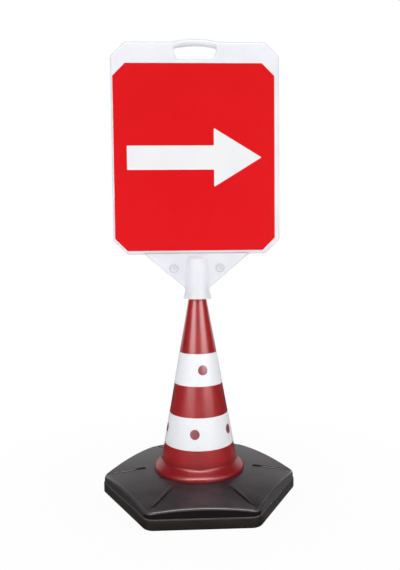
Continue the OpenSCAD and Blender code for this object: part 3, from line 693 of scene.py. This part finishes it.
def ballast_slab(base):
    """Hexagonal slab rounded along its edges, with a relief and bolt pockets underneath."""
    bm = bmesh.new()
    apothem = SLAB_HIGH.y
    inner = hexagon(apothem - base.rim, base.corner)
    rings = [add_ring(bm, raised(inner, base.relief)), add_ring(bm, raised(inner, 0))]
    edge = rolled(base.slab_roll, COVER_LOW.z)
    edge = [(inset, COVER_LOW.z - height) for inset, height in reversed(edge)] + edge
    for inset, height in edge:
        rings.append(add_ring(bm, raised(hexagon(apothem - inset, base.corner - inset), height)))
    skin(bm, rings)
    fill(bm, rings[-1])
    reach, middles = bolt_middles()
    radius = WASHER_HIGH.y - reach + base.pocket_spare
    turns = [2 * math.pi * k / POCKET_STEPS for k in range(POCKET_STEPS)]
    mouths = []
    for middle in middles:
        outline = [middle + radius * Vector((math.cos(t), math.sin(t))) for t in turns]
        pocket = [add_ring(bm, raised(outline, z)) for z in (base.relief, WASHER_HIGH.z)]
        skin(bm, pocket)
        fill(bm, pocket[1])
        mouths.append(pocket[0])
    fill(bm, rings[0], *mouths)
    return bm


def eave_height(base, direction):
    """Height of the cover's edge in a direction from the middle."""
    turn = direction % SIDE_ANGLE - SIDE_ANGLE / 2
    share = math.tan(turn) / math.tan(SIDE_ANGLE / 2)
    return COVER_LOW.z + base.eave_mid - (base.eave_mid - base.eave_corner) * share * share


def roof_height(base, turn, share):
    """Height of the cover's roof in a direction, at a share of the way from the seat to the edge."""
    return CONE_LOW.z - (CONE_LOW.z - eave_height(base, turn)) * share ** base.roof_power


def cover_rib(bm, base, turn):
    """Raised rib that follows the roof towards a corner and slopes down at both ends."""
    seat = CONE_HIGH.x + base.seat_margin
    edge = COVER_HIGH.x - base.eave_roll
    start, end = seat + base.rib_gap, edge - base.rib_end_gap
    aside = Matrix.Rotation(turn, 3, "Z")
    rings = []
    for k in range(RIB_STEPS + 1):
        share = k / RIB_STEPS
        along = start + (end - start) * share
        half = (base.rib_inner + (base.rib_outer - base.rib_inner) * share) / 2
        rise = max(smooth_step(0, base.rib_ramp, min(along - start, end - along)), RIB_END)
        roof = roof_height(base, 0, (along - seat) / (edge - seat))
        heights = [roof + base.rib_height * (RIB_ROOT + rise * (up - RIB_ROOT)) for _, up in RIB_SECTION]
        row = [Vector((along, half * across, z)) for (across, _), z in zip(RIB_SECTION, heights)]
        rings.append(add_ring(bm, [aside @ p for p in row]))
    skin(bm, rings)
    bm.faces.new(rings[0])
    bm.faces.new(rings[-1])


def base_cover(base):
    """Domed cover with six arched edges, a seat for the cone and a rib to each corner."""
    bm = bmesh.new()
    edge_highlight = bm.verts.layers.float.new(EDGE_HIGHLIGHT_LAYER)
    apothem = COVER_HIGH.y
    corner = base.corner - (SLAB_HIGH.y - apothem)
    seat_radius = CONE_HIGH.x + base.seat_margin
    seat_z, under_z = CONE_LOW.z, CONE_LOW.z - base.wall

    def around(inset, height):
        """Row of the outline drawn in, with its height worked out from the direction."""
        outline = hexagon(apothem - inset, corner - inset, SIDE_STEPS)
        return [Vector((p.x, p.y, height(math.atan2(p.y, p.x)))) for p in outline]

    def roof(share, sink):
        """Row of the roof at a share of the way from the seat to the edge."""
        row = []
        for p in hexagon(apothem - base.eave_roll, corner - base.eave_roll, SIDE_STEPS):
            turn = math.atan2(p.y, p.x)
            q = p.normalized() * seat_radius * (1 - share) + p * share
            row.append(Vector((q.x, q.y, roof_height(base, turn, share) - sink)))
        return row

    def seat(radius, height):
        """Round row on the seat."""
        return raised([p.normalized() * radius for p in hexagon(apothem, corner, SIDE_STEPS)], height)

    rows = [around(0, lambda turn: COVER_LOW.z)]
    for inset, height in rolled(base.eave_roll, 0):
        rows.append(around(inset, lambda turn, h=height: eave_height(base, turn) + h))
    # The rolled edge without its first and last row
    highlight_rows = range(2, len(rows) - 1)
    rows += [roof(1 - k / ROOF_STEPS, 0) for k in range(1, ROOF_STEPS)]
    rows += [seat(seat_radius, seat_z), seat(base.seat_hole, seat_z)]
    rows += [seat(base.seat_hole, under_z), seat(seat_radius, under_z), roof(0.5, base.wall)]
    rows.append(around(base.wall, lambda turn: eave_height(base, turn) - base.eave_roll))
    rows.append(around(base.wall, lambda turn: COVER_LOW.z))
    rings = [add_ring(bm, row) for row in rows]
    skin(bm, rings, looped=True)
    # The rolled edge carries the painted highlight
    for k in highlight_rows:
        for vert in rings[k]:
            vert[edge_highlight] = 1
    for k in range(SIDES):
        cover_rib(bm, base, SIDE_ANGLE * k)
    return bm


# Cone and sleeves

def cone_radius(cone, height):
    """Outer radius of the straight cone at a height."""
    slope = (cone.root - cone.mouth) / (CONE_HIGH.z - CONE_LOW.z - cone.flare)
    return cone.mouth + slope * (CONE_HIGH.z - height)


def on_cone(cone, turn, height, lift):
    """Point on the cone in a direction, lifted off its surface."""
    radius = cone_radius(cone, height) + lift
    return Vector((radius * math.cos(turn), radius * math.sin(turn), height))


def stud(bm, cone, turn, height):
    """Low domed stud that follows the cone's surface."""
    radius = cone.stud / 2
    top = cone.proud - cone.stud_dip
    profile = [(radius, -cone.sleeve)]
    profile += [(radius - inset, lift) for inset, lift in rolled(cone.stud_roll, top)]
    profile += [(radius / 2, top), (0, top)]
    rings = []
    for r, lift in profile:
        row = []
        for k in range(STUD_STEPS):
            a = 2 * math.pi * k / STUD_STEPS
            z = height + r * math.sin(a)
            row.append(on_cone(cone, turn + r * math.cos(a) / cone_radius(cone, z), z, lift))
        rings.append(add_ring(bm, row))
    skin(bm, rings)
    bm.faces.new(rings[0])


def stud_turns(cone, name):
    """Directions of the studs that hold a sleeve."""
    count, first = {
        "lower_sleeve": (cone.lower_studs, cone.lower_turn),
        "upper_sleeve": (cone.upper_studs, cone.upper_turn)}[name]
    return [first + 2 * math.pi * k / count for k in range(count)]


def cone_shell(cone):
    """Cone with a flared foot, seats for the sleeves, a rolled mouth and studs."""
    bm = bmesh.new()
    low, high = CONE_LOW.z, CONE_HIGH.z
    rim = CONE_HIGH.x
    depth = cone.sleeve - cone.proud
    outer = [(cone.root - cone.wall, low, 0), (rim, low, cone.lip_roll)]
    for k in range(FLARE_STEPS + 1):
        share = k / FLARE_STEPS
        radius = rim + (cone.root - rim) * smooth_step(0, 1, share)
        outer.append((radius, low + cone.lip + (cone.flare - cone.lip) * share, 0))
    for bottom, top in SLEEVES.values():
        foot, head = cone_radius(cone, bottom.z), cone_radius(cone, top.z)
        outer += [(foot, bottom.z, 0), (foot - depth, bottom.z, 0)]
        outer += [(head - depth, top.z, 0), (head, top.z, 0)]
    outer += [(cone.mouth, high, cone.mouth_roll), (cone.mouth - cone.wall, high, 0)]
    revolve(bm, rounded(outer))
    for name, (bottom, top) in SLEEVES.items():
        for turn in stud_turns(cone, name):
            stud(bm, cone, turn, (bottom.z + top.z) / 2)
    return bm


def sleeve(cone, name):
    """Thin band round the cone with round holes, made of one patch round each hole."""
    bm = bmesh.new()
    turns = stud_turns(cone, name)
    low, high = SLEEVES[name][0].z, SLEEVES[name][1].z
    middle = (low + high) / 2
    middle_radius = cone_radius(cone, middle)
    half_u, half_v = math.pi * middle_radius / len(turns), (high - low) / 2
    hole = cone.stud / 2 + cone.stud_gap
    across = SLEEVE_STEPS // len(turns)
    border = [(half_u * (2 * k / across - 1), -half_v) for k in range(across)]
    border += [(half_u, half_v * (2 * k / SLEEVE_RISE_STEPS - 1)) for k in range(SLEEVE_RISE_STEPS)]
    border += [(-u, -v) for u, v in border]
    for turn in turns:
        rings = []
        for k in range(HOLE_STEPS + 1):
            share = k / HOLE_STEPS
            row = []
            for u, v in border:
                scale = share + (1 - share) * hole / math.hypot(u, v)
                row.append(on_cone(cone, turn + u * scale / middle_radius, middle + v * scale, cone.proud))
            rings.append(add_ring(bm, row))
        skin(bm, rings)
    bmesh.ops.remove_doubles(bm, verts=bm.verts, dist=WELD)
    bmesh.ops.recalc_face_normals(bm, faces=bm.faces)
    bmesh.ops.solidify(bm, geom=bm.faces, thickness=cone.sleeve)
    rims = [edge for edge in bm.edges if edge.is_manifold and edge.calc_face_angle() > SLEEVE_RIM]
    bmesh.ops.bevel(bm, geom=rims, offset=cone.sleeve_edge, segments=2, profile=0.5, affect="EDGES")
    return bm


# Sign

def panel_levels(panel):
    """Heights of the panel's lower and upper edges."""
    top = SHELL_HIGH.z - panel.handle_rise
    return top - panel.height, top


def panel_outline(panel):
    """Outline of the panel with its cut corners and the handle's arch."""
    low, high = panel_levels(panel)
    reach = panel.handle / 2
    arch = [
        (reach, high, panel.handle_foot), arched(reach, high, panel.handle_rise),
        (-reach, high, panel.handle_foot)]
    return rounded(cut_corners(SHELL_HIGH.x, low, high, panel.cut, panel.corner, arch))


def hand_hole_outline(panel):
    """Outline of the hand hole, wider at its arched top."""
    top = panel_levels(panel)[1] - panel.hole_drop
    bottom = top - panel.hole_side
    wide, narrow = panel.hole_top / 2, panel.hole_bottom / 2
    return rounded([
        (narrow, bottom, panel.hole_corner), (wide, top, panel.hole_corner),
        arched(wide, top, panel.hole_rise),
        (-wide, top, panel.hole_corner), (-narrow, bottom, panel.hole_corner)])


def panel_half(bm, panel, side):
    """Half of the panel, from the seam to its face, with the edges rolled."""
    half = panel.depth / 2
    outline, hole = panel_outline(panel), hand_hole_outline(panel)

    def ring(outline, depth):
        """Row of an outline at a depth from the seam."""
        return add_ring(bm, [(p.x, side * depth, p.y) for p in outline])

    outer = [ring(drawn_in(outline, panel.seam), 0), ring(outline, panel.seam)]
    for inset, depth in rolled(panel.roll, half, FACE_BAND):
        outer.append(ring(drawn_in(outline, inset), depth))
    inner = [ring(drawn_in(hole, -panel.seam), 0), ring(hole, panel.seam)]
    for inset, depth in rolled(panel.hole_roll, half, FACE_BAND):
        inner.append(ring(drawn_in(hole, -inset), depth))
    for rings in (outer, inner):
        skin(bm, rings)
    fill(bm, outer[0], inner[0])
    fill(bm, outer[-1], inner[-1])


def bell_radius(panel, height):
    """Outer radius of the bell socket, from its flared rim to its domed top."""
    waist_z = SHELL_LOW.z + panel.bell_flare
    top_z = panel_levels(panel)[0] - panel.dome_gap
    shoulder_z = top_z - panel.dome
    if height < waist_z:
        flare = (waist_z - height) / panel.bell_flare
        return panel.waist + (-SHELL_LOW.y - panel.waist) * flare ** panel.bell_power
    if height < shoulder_z:
        return panel.waist + (panel.shoulder - panel.waist) * (height - waist_z) / (shoulder_z - waist_z)
    rise = min((height - shoulder_z) / panel.dome, 1)
    return panel.shoulder * math.sqrt(1 - rise * rise)


def neck_row(panel, height):
    """Row of the neck's front: half breadths and depths where the gusset and the bell blend."""
    waist_z = SHELL_LOW.z + panel.bell_flare
    panel_z = panel_levels(panel)[0]
    slope = (panel.gusset - panel.gusset_foot) / 2 / (panel_z - waist_z)
    slant_roll = panel.gusset_roll * math.hypot(1, slope)
    bell = bell_radius(panel, height)
    plate_x = min(panel.gusset / 2 + slope * (height - panel_z), panel.gusset / 2)
    breadth = smooth_max(plate_x, bell, panel.fillet)
    inner = min(bell + panel.fillet, breadth)
    present = smooth_step(waist_z - panel.fillet, waist_z + panel.fillet, height)
    roll_x = min(slant_roll, breadth - inner)
    flat = breadth - roll_x - inner
    xs = [inner * math.sin(math.pi / 2 * k / BELL_STEPS) for k in range(BELL_STEPS)]
    xs += [inner + flat * k / GUSSET_STEPS for k in range(GUSSET_STEPS)]
    xs += [breadth - roll_x * math.cos(math.pi / 2 * k / ROLL_STEPS) for k in range(ROLL_STEPS + 1)]
    depths = []
    for x in xs:
        edge = 1 - min((breadth - x) / slant_roll, 1)
        plate = panel.gusset_depth / 2 - panel.gusset_roll * (1 - math.sqrt(max(1 - edge * edge, 0)))
        round_part = math.sqrt(max(bell * bell - x * x, 0))
        depths.append(smooth_max(plate * present, round_part, panel.fillet * present + WELD))
    return xs + [breadth], depths + [0]


def neck_half(bm, panel, side):
    """Half of the gusset and the bell socket under the panel, with the bore for the spigot."""
    panel_z = panel_levels(panel)[0]
    waist_z = SHELL_LOW.z + panel.bell_flare
    shoulder_z = panel_z - panel.dome_gap - panel.dome
    seat_z = CONE_HIGH.z + panel.collar
    heights = [panel_z + panel.gusset_lap, panel_z]
    heights += [shoulder_z + panel.dome * math.cos(math.pi / 2 * k / DOME_STEPS) for k in range(DOME_STEPS)]
    heights += [shoulder_z + (waist_z - shoulder_z) * k / NECK_STEPS for k in range(NECK_STEPS)]
    heights += [waist_z + (SHELL_LOW.z - waist_z) * k / RIM_STEPS for k in range(RIM_STEPS + 1)]
    rows = [(*neck_row(panel, height), height) for height in heights]
    bore = panel.neck + panel.bore_gap
    inside = [(-SHELL_LOW.y - panel.bell_wall, SHELL_LOW.z)]
    flare_z = SHELL_LOW.z + panel.bell_flare / 3
    inside += [(bell_radius(panel, z) - panel.bell_wall, z) for z in (flare_z, seat_z)]
    inside += [(bore, seat_z), (bore, NECK_HIGH.z), (0, NECK_HIGH.z)]
    turns = [math.pi / 2 * min(k / BELL_STEPS, 1) for k in range(len(rows[0][0]))]
    for radius, height in inside:
        rows.append(([radius * math.sin(t) for t in turns], [radius * math.cos(t) for t in turns], height))
    rings = []
    for xs, depths, height in rows:
        right = [(x, side * d, height) for x, d in zip(xs, depths)]
        left = [(-x, side * d, height) for x, d in zip(xs[:0:-1], depths[:0:-1])]
        rings.append(add_ring(bm, left + right))
    skin(bm, rings, around=False)
    bm.faces.new(rings[0])
    bm.faces.new([ring[0] for ring in rings] + [ring[-1] for ring in reversed(rings)])


def sign_half(panel, side):
    """Half shell of the sign: panel, gusset and bell socket."""
    bm = bmesh.new()
    panel_half(bm, panel, side)
    neck_half(bm, panel, side)
    return bm


def film_sheet(panel, side):
    """Sheet of film on a face of the panel, with cut corners."""
    bm = bmesh.new()
    middle, half_width = (FILM_LOW.x + FILM_HIGH.x) / 2, (FILM_HIGH.x - FILM_LOW.x) / 2
    outline = rounded(cut_corners(half_width, FILM_LOW.z, FILM_HIGH.z, panel.film_cut, panel.film_corner))
    outline = [Vector((p.x + middle, p.y)) for p in outline]
    rings = [add_ring(bm, [(p.x, -side * FILM_HIGH.y, p.y) for p in outline])]
    for inset, depth in rolled(panel.film_roll, -FILM_LOW.y, FACE_BAND):
        rings.append(add_ring(bm, [(p.x, side * depth, p.y) for p in drawn_in(outline, inset)]))
    skin(bm, rings)
    fill(bm, rings[0])
    fill(bm, rings[-1])
    return bm


def film_arrow(panel, side):
    """Block arrow cut from film, on the middle of the sheet."""
    bm = bmesh.new()
    middle = (FILM_LOW + FILM_HIGH) / 2
    tip, tail = middle.x + panel.arrow / 2, middle.x - panel.arrow / 2
    neck = tip - panel.arrow_head
    head, shaft = panel.arrow_height / 2, panel.arrow_shaft / 2
    corners = [
        (tip, 0), (neck, head), (neck, shaft), (tail, shaft), (tail, -shaft), (neck, -shaft), (neck, -head)]
    outline = rounded([(x, middle.z + z, panel.arrow_corner) for x, z in corners])
    rings = [
        add_ring(bm, [(p.x, side * depth, p.y) for p in outline])
        for depth in (-FILM_HIGH.y, panel.ink - FILM_LOW.y)]
    skin(bm, rings)
    for ring in rings:
        fill(bm, ring)
    return bm


def connectors(panel, side):
    """Two round connector heads with their shanks, seated on the gusset."""
    bm = bmesh.new()
    radius, shank = panel.button / 2, panel.shank / 2
    seat, crown = panel.gusset_depth / 2, -BARREL_LOW.y
    dish, dish_floor = radius - 2 * panel.button_roll, crown - panel.button_dish
    profile = rounded([
        (0, 0, 0), (shank, 0, 0), (shank, seat, 0), (radius, seat, 0), (radius, crown, panel.button_roll),
        (dish, crown, panel.button_dish), (dish - panel.button_roll, dish_floor, panel.button_dish),
        (0, dish_floor, 0)])
    for x in (BARREL_LOW.x + radius, BARREL_HIGH.x - radius):
        place = Matrix.Translation((x, 0, (BARREL_LOW.z + BARREL_HIGH.z) / 2))
        revolve(bm, profile, place @ Matrix.Rotation(-side * math.pi / 2, 4, "X"), HEAD_STEPS)
    return bm


# Stage, with its places in metres

WHITE = (1, 1, 1, 1)
ONE_FACE = [(0, 1, 2, 3)]

# Floor, which goes over to plain white between two distances, and how white it is seen at each
FLOOR_REACH = 12
FLOOR_FADE = (0.3, 0.9)
FLOOR_WHITE = (0.95, 1)

# A glow goes from its first strength to its second between the two heights of a rise

# Dark cloth round the front, with a roof that ends behind the object
CLOTH_GLOW = (0.03, 0.02)
CLOTH_RISE = (0, 0.5)
CLOTH_RADIUS = 4
CLOTH_HEIGHT = 3
CLOTH_STEPS = 24
CLOTH_HALF_TURN = math.radians(126)
ROOF_REACH = 5
ROOF_BACK = 3.9

# Upright cards in front: the directions of their ends, in degrees to the right of straight ahead
CARDS = {"left_card": (-56, -19), "right_card": (21, 60)}
CARD_GLOW = (0.05, 6.2)
CARD_RISE = (0.3, 1)
CARD_RADIUS = 2.35
CARD_HEIGHT = 1.5

# Mats on the floor, left and right of the middle: left edge, right edge and glow
MATS = {"left_mat": (-0.46, 0, 0.17), "right_mat": (0, 0.46, 0.3)}
MAT_NEAR, MAT_FAR = -0.2, 0.3
MAT_HEIGHT = 2 * MM

# Dark mat under the others
UNDER_MAT_GLOW = 0.04
UNDER_MAT_HEIGHT = 1 * MM

# Level card overhead that the front edge of the base reflects
EAVE_CARD_GLOW = 16
EAVE_CARD_REACH = 1.9
EAVE_CARD_NEAR, EAVE_CARD_FAR = -2.6, -1.5
EAVE_CARD_HEIGHT = 2.95


def aimed(name, data, place, target):
    """Object at a place that looks at a target."""
    thing = bpy.data.objects.new(name, data)
    thing.location = place
    thing.rotation_euler = (Vector(target) - Vector(place)).to_track_quat("-Z", "Y").to_euler()
    bpy.context.scene.collection.objects.link(thing)
    return thing


def lamp(name, watts, size, place, target):
    """Soft rectangular lamp that the camera and gloss don't see."""
    light = bpy.data.lights.new(name, "AREA")
    light.shape = "RECTANGLE"
    light.size, light.size_y = size
    light.energy = watts
    shining = aimed(name, light, place, target)
    shining.visible_camera = False
    shining.visible_glossy = False


def set_lamps(stage):
    """Lamps on both sides, low in front, overhead and behind."""
    for side, name in ((-1, "left_lamp"), (1, "right_lamp")):
        lamp(name, stage.side_power, size=(1.4, 1.1), place=(side * 2, -1.2, 0.85), target=(0, 0, 0.55))
    lamp("low_lamp", stage.low_power, size=(1.6, 0.5), place=(0, -1.7, 0.3), target=(0, 0, 0.3))
    lamp("top_lamp", stage.top_power, size=(1.4, 1.4), place=(0, -0.2, 2.2), target=(0, 0, 0))
    lamp("rear_lamp", stage.rear_power, size=(1.8, 0.7), place=(0, 1.9, 0.4), target=(0, 0, 0.8))


def place_camera(stage):
    """Camera at the photograph's viewing angle, leaning a little."""
    right = Vector((math.cos(stage.heading), math.sin(stage.heading), 0))
    ahead = Vector((-math.sin(stage.heading), math.cos(stage.heading), 0)) * math.cos(stage.pitch)
    ahead.z = -math.sin(stage.pitch)
    up = right.cross(ahead)
    turn = Matrix((right, up, -ahead)).transposed() @ Matrix.Rotation(-stage.roll, 3, "Z")
    data = bpy.data.cameras.new("camera")
    data.lens = stage.lens
    camera = bpy.data.objects.new("camera", data)
    camera.matrix_world = Matrix.Translation(stage.eye) @ turn.to_4x4()
    bpy.context.scene.collection.objects.link(camera)
    bpy.context.scene.camera = camera


def seen_directly(tree):
    """1 where the camera, a mirror or glass looks, 0 where light bounces."""
    path = add(tree, "LightPath").outputs
    sharp = add(tree, "Math", (path["Is Camera Ray"], path["Is Glossy Ray"]), operation="MAXIMUM")
    return add(tree, "Math", (sharp, path["Is Transmission Ray"]), operation="MAXIMUM")


def light_world(stage):
    """White world behind the object, which gives a softer fill light."""
    world = bpy.data.worlds.new("studio")
    bpy.context.scene.world = world
    world.use_nodes = True
    tree = world.node_tree
    tree.nodes.clear()
    strength = add(tree, "MapRange", (seen_directly(tree), 0, 1, stage.fill, 1))
    add(tree, "OutputWorld", (add(tree, "Background", (WHITE, strength)),))


def stage_mesh(name, points, faces, material):
    """Plain mesh of the studio."""
    mesh = bpy.data.meshes.new(name)
    mesh.from_pydata(points, [], faces)
    mesh.materials.append(material)
    thing = bpy.data.objects.new(name, mesh)
    bpy.context.scene.collection.objects.link(thing)
    return thing


def level(left, right, near, far, height):
    """Corners of a level rectangle."""
    return [(left, near, height), (right, near, height), (right, far, height), (left, far, height)]


def lay_floor(colours):
    """Painted floor: pale and matt, seen as white but for the object's shadow."""
    material, tree, place = new_material("Painted floor")
    mottle = add(tree, "TexNoise", {"Vector": place, "Scale": per(400), "Detail": 2})
    tint = add(tree, "Mix", (mottle, colours.floor, colours.floor_shade), data_type="RGBA")
    paint = add(tree, "BsdfDiffuse", {"Color": tint})
    glow = add(tree, "Emission", (WHITE, 1))
    distance = add(tree, "VectorMath", (place,), operation="LENGTH")
    # Near the object a little of the paint shows, and the shadow with it
    white = add(tree, "MapRange", (distance, *FLOOR_FADE, *FLOOR_WHITE))
    share = add(tree, "Math", (white, seen_directly(tree)), operation="MULTIPLY")
    add(tree, "OutputMaterial", (add(tree, "MixShader", (share, paint, glow)),))
    corners = level(-FLOOR_REACH, FLOOR_REACH, -FLOOR_REACH, FLOOR_REACH, 0)
    stage_mesh("floor", corners, ONE_FACE, material)


def hang(name, points, faces, glow, rise):
    """Cloth, mat or card that only gloss sees, whose lower and upper glow blend between two heights."""
    material, tree, place = new_material(name)
    height = add(tree, "SeparateXYZ", (place,)).outputs["Z"]
    strength = add(tree, "MapRange", (height, *rise, *glow))
    add(tree, "OutputMaterial", (add(tree, "Emission", (WHITE, strength)),))
    cloth = stage_mesh(name, points, faces, material)
    cloth.visible_camera = False
    cloth.visible_diffuse = False
    cloth.visible_transmission = False
    cloth.visible_shadow = False


def hang_level(name, points, glow):
    """Level mat or card that only gloss sees, with one glow all over."""
    hang(name, points, ONE_FACE, (glow, glow), CLOTH_RISE)


def hang_cloths():
    """Dark cloth round the front, overhead and underfoot, and the brighter mats and cards."""
    turns = [CLOTH_HALF_TURN * (2 * k / CLOTH_STEPS - 1) for k in range(CLOTH_STEPS + 1)]
    low = [(CLOTH_RADIUS * math.sin(t), -CLOTH_RADIUS * math.cos(t), 0) for t in turns]
    high = [(x, y, CLOTH_HEIGHT) for x, y, _ in low]
    roof = level(-ROOF_REACH, ROOF_REACH, -ROOF_REACH, ROOF_BACK, CLOTH_HEIGHT)
    count = len(low)
    faces = [(i, i + 1, i + count + 1, i + count) for i in range(CLOTH_STEPS)]
    faces.append(tuple(range(2 * count, 2 * count + len(roof))))
    hang("dark_cloth", low + high + roof, faces, CLOTH_GLOW, CLOTH_RISE)
    mat = level(-ROOF_REACH, ROOF_REACH, -ROOF_REACH, ROOF_REACH, UNDER_MAT_HEIGHT)
    hang_level("dark_mat", mat, UNDER_MAT_GLOW)
    for name, (left, right, glow) in MATS.items():
        hang_level(name, level(left, right, MAT_NEAR, MAT_FAR, MAT_HEIGHT), glow)
    eave = level(-EAVE_CARD_REACH, EAVE_CARD_REACH, EAVE_CARD_NEAR, EAVE_CARD_FAR, EAVE_CARD_HEIGHT)
    hang_level("eave_card", eave, EAVE_CARD_GLOW)
    for name, directions in CARDS.items():
        bends = [math.radians(direction) for direction in directions]
        first, last = [(CARD_RADIUS * math.sin(t), -CARD_RADIUS * math.cos(t)) for t in bends]
        points = [(*first, 0), (*last, 0), (*last, CARD_HEIGHT), (*first, CARD_HEIGHT)]
        hang(name, points, ONE_FACE, CARD_GLOW, CARD_RISE)


# Operators

class CONESIGN_OT_stage(bpy.types.Operator):
    """Set the camera, the lamps, the floor and the cloths"""

    bl_idname = "cone_sign.stage"
    bl_label = "Studio"
    bl_options = {"REGISTER", "UNDO"}

    def execute(self, context):
        settings = context.scene.cone_sign
        context.scene.view_settings.view_transform = "Standard"
        place_camera(settings.stage)
        light_world(settings.stage)
        lay_floor(settings.colours)
        hang_cloths()
        set_lamps(settings.stage)
        return {"FINISHED"}


class CONESIGN_OT_ballast(bpy.types.Operator):
    """Build the ballast slab"""

    bl_idname = "cone_sign.ballast"
    bl_label = "Ballast slab"
    bl_options = {"REGISTER", "UNDO"}

    def execute(self, context):
        settings = context.scene.cone_sign
        slab = ballast_slab(settings.base)
        rubber = pressed_crumb_rubber(settings.colours)
        make_piece("ballast_block", slab, "stand", rubber, ["ballast_slab"])
        return {"FINISHED"}


class CONESIGN_OT_cover(bpy.types.Operator):
    """Build the base cover"""

    bl_idname = "cone_sign.cover"
    bl_label = "Base cover"
    bl_options = {"REGISTER", "UNDO"}

    def execute(self, context):
        settings = context.scene.cone_sign
        cover = base_cover(settings.base)
        polymer = moulded_black_polymer(settings.colours)
        make_piece("cover_skin", cover, "stand", polymer, ["base_cover"])
        return {"FINISHED"}


class CONESIGN_OT_cone(bpy.types.Operator):
    """Build the cone with its studs"""

    bl_idname = "cone_sign.cone"
    bl_label = "Cone"
    bl_options = {"REGISTER", "UNDO"}

    def execute(self, context):
        settings = context.scene.cone_sign
        cone = cone_shell(settings.cone)
        pvc = moulded_soft_pvc(settings.colours)
        make_piece("cone_skin", cone, "stand", pvc, ["cone_shell"])
        return {"FINISHED"}


class CONESIGN_OT_sleeves(bpy.types.Operator):
    """Build the two white sleeves"""

    bl_idname = "cone_sign.sleeves"
    bl_label = "Sleeves"
    bl_options = {"REGISTER", "UNDO"}

    def execute(self, context):
        settings = context.scene.cone_sign
        white = reflective_sleeve(settings.colours)
        for name in SLEEVES:
            band = sleeve(settings.cone, name)
            make_piece(name + "_band", band, "stand", white, [name])
        return {"FINISHED"}


class CONESIGN_OT_panel_halves(bpy.types.Operator):
    """Build the front and rear half shells of the sign"""

    bl_idname = "cone_sign.panel_halves"
    bl_label = "Panel halves"
    bl_options = {"REGISTER", "UNDO"}

    def execute(self, context):
        settings = context.scene.cone_sign
        plastic = blow_moulded_polyethylene(settings.colours)
        for name, side in HALVES.items():
            half = sign_half(settings.panel, side)
            make_piece(name + "_half", half, "sign", plastic, [f"sign_{name}_shell"])
        return {"FINISHED"}


class CONESIGN_OT_films(bpy.types.Operator):
    """Lay the printed films and their arrows on both faces"""

    bl_idname = "cone_sign.films"
    bl_label = "Films"
    bl_options = {"REGISTER", "UNDO"}

    def execute(self, context):
        settings = context.scene.cone_sign
        colours = settings.colours
        red = laminated_vinyl("Printed vinyl film", colours.film, colours.film_shade)
        white = laminated_vinyl("Cut vinyl film", colours.arrow, colours.panel)
        for name, side in HALVES.items():
            sheet = film_sheet(settings.panel, side)
            make_piece(name + "_film", sheet, "sign", red, [name + "_graphic"])
            arrow = film_arrow(settings.panel, side)
            make_piece(name + "_arrow", arrow, "sign", white, [])
        return {"FINISHED"}


class CONESIGN_OT_connectors(bpy.types.Operator):
    """Build the connector heads on both sides of the gusset"""

    bl_idname = "cone_sign.connectors"
    bl_label = "Connectors"
    bl_options = {"REGISTER", "UNDO"}

    def execute(self, context):
        settings = context.scene.cone_sign
        nylon = moulded_nylon(settings.colours)
        for name, node in (("front", "connector_barrels"), ("rear", "connector_screws")):
            heads = connectors(settings.panel, HALVES[name])
            make_piece(name + "_connectors", heads, "sign", nylon, [node])
        return {"FINISHED"}


class CONESIGN_OT_inner_parts(bpy.types.Operator):
    """Finish the spigot, its ring, and the bolts, washers and inserts of the base"""

    bl_idname = "cone_sign.inner_parts"
    bl_label = "Inner parts"
    bl_options = {"REGISTER", "UNDO"}

    def execute(self, context):
        colours = context.scene.cone_sign.colours
        zinc = zinc_plated_steel(colours)
        finishes = {
            "neck_spigot": moulded_polypropylene(colours),
            "spigot_retainer": zinc,
            "base_bolts": zinc,
            "base_washers": zinc,
            "foot_inserts": turned_brass(colours),
        }
        for name, material in finishes.items():
            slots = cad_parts[name].material_slots
            if not slots:
                raise RuntimeError(f"{name} has no material slot")
            for slot in slots:
                slot.material = material
        return {"FINISHED"}


STEPS = (
    CONESIGN_OT_stage, CONESIGN_OT_ballast, CONESIGN_OT_cover, CONESIGN_OT_cone, CONESIGN_OT_sleeves,
    CONESIGN_OT_panel_halves, CONESIGN_OT_films, CONESIGN_OT_connectors, CONESIGN_OT_inner_parts)


class CONESIGN_PT_steps(bpy.types.Panel):
    """Steps of the cone sign"""

    bl_idname = "CONESIGN_PT_steps"
    bl_label = "Cone Sign"
    bl_space_type = "VIEW_3D"
    bl_region_type = "UI"
    bl_category = "Cone Sign"

    def draw(self, context):
        for step in STEPS:
            self.layout.operator(step.bl_idname)


GROUPS = (ConeSignBase, ConeSignCone, ConeSignPanel, ConeSignColours, ConeSignStage, ConeSignSettings)
CLASSES = (*GROUPS, *STEPS, CONESIGN_PT_steps)


def register():
    """Adds the classes and the scene's settings."""
    for cls in CLASSES:
        bpy.utils.register_class(cls)
    bpy.types.Scene.cone_sign = PointerProperty(type=ConeSignSettings)


def unregister():
    """Removes the scene's settings and the classes."""
    del bpy.types.Scene.cone_sign
    for cls in reversed(CLASSES):
        bpy.utils.unregister_class(cls)


def main():
    """Builds the whole sign."""
    register()
    for step in STEPS:
        group, name = step.bl_idname.split(".")
        getattr(getattr(bpy.ops, group), name)()


if __name__ == "__main__":
    main()
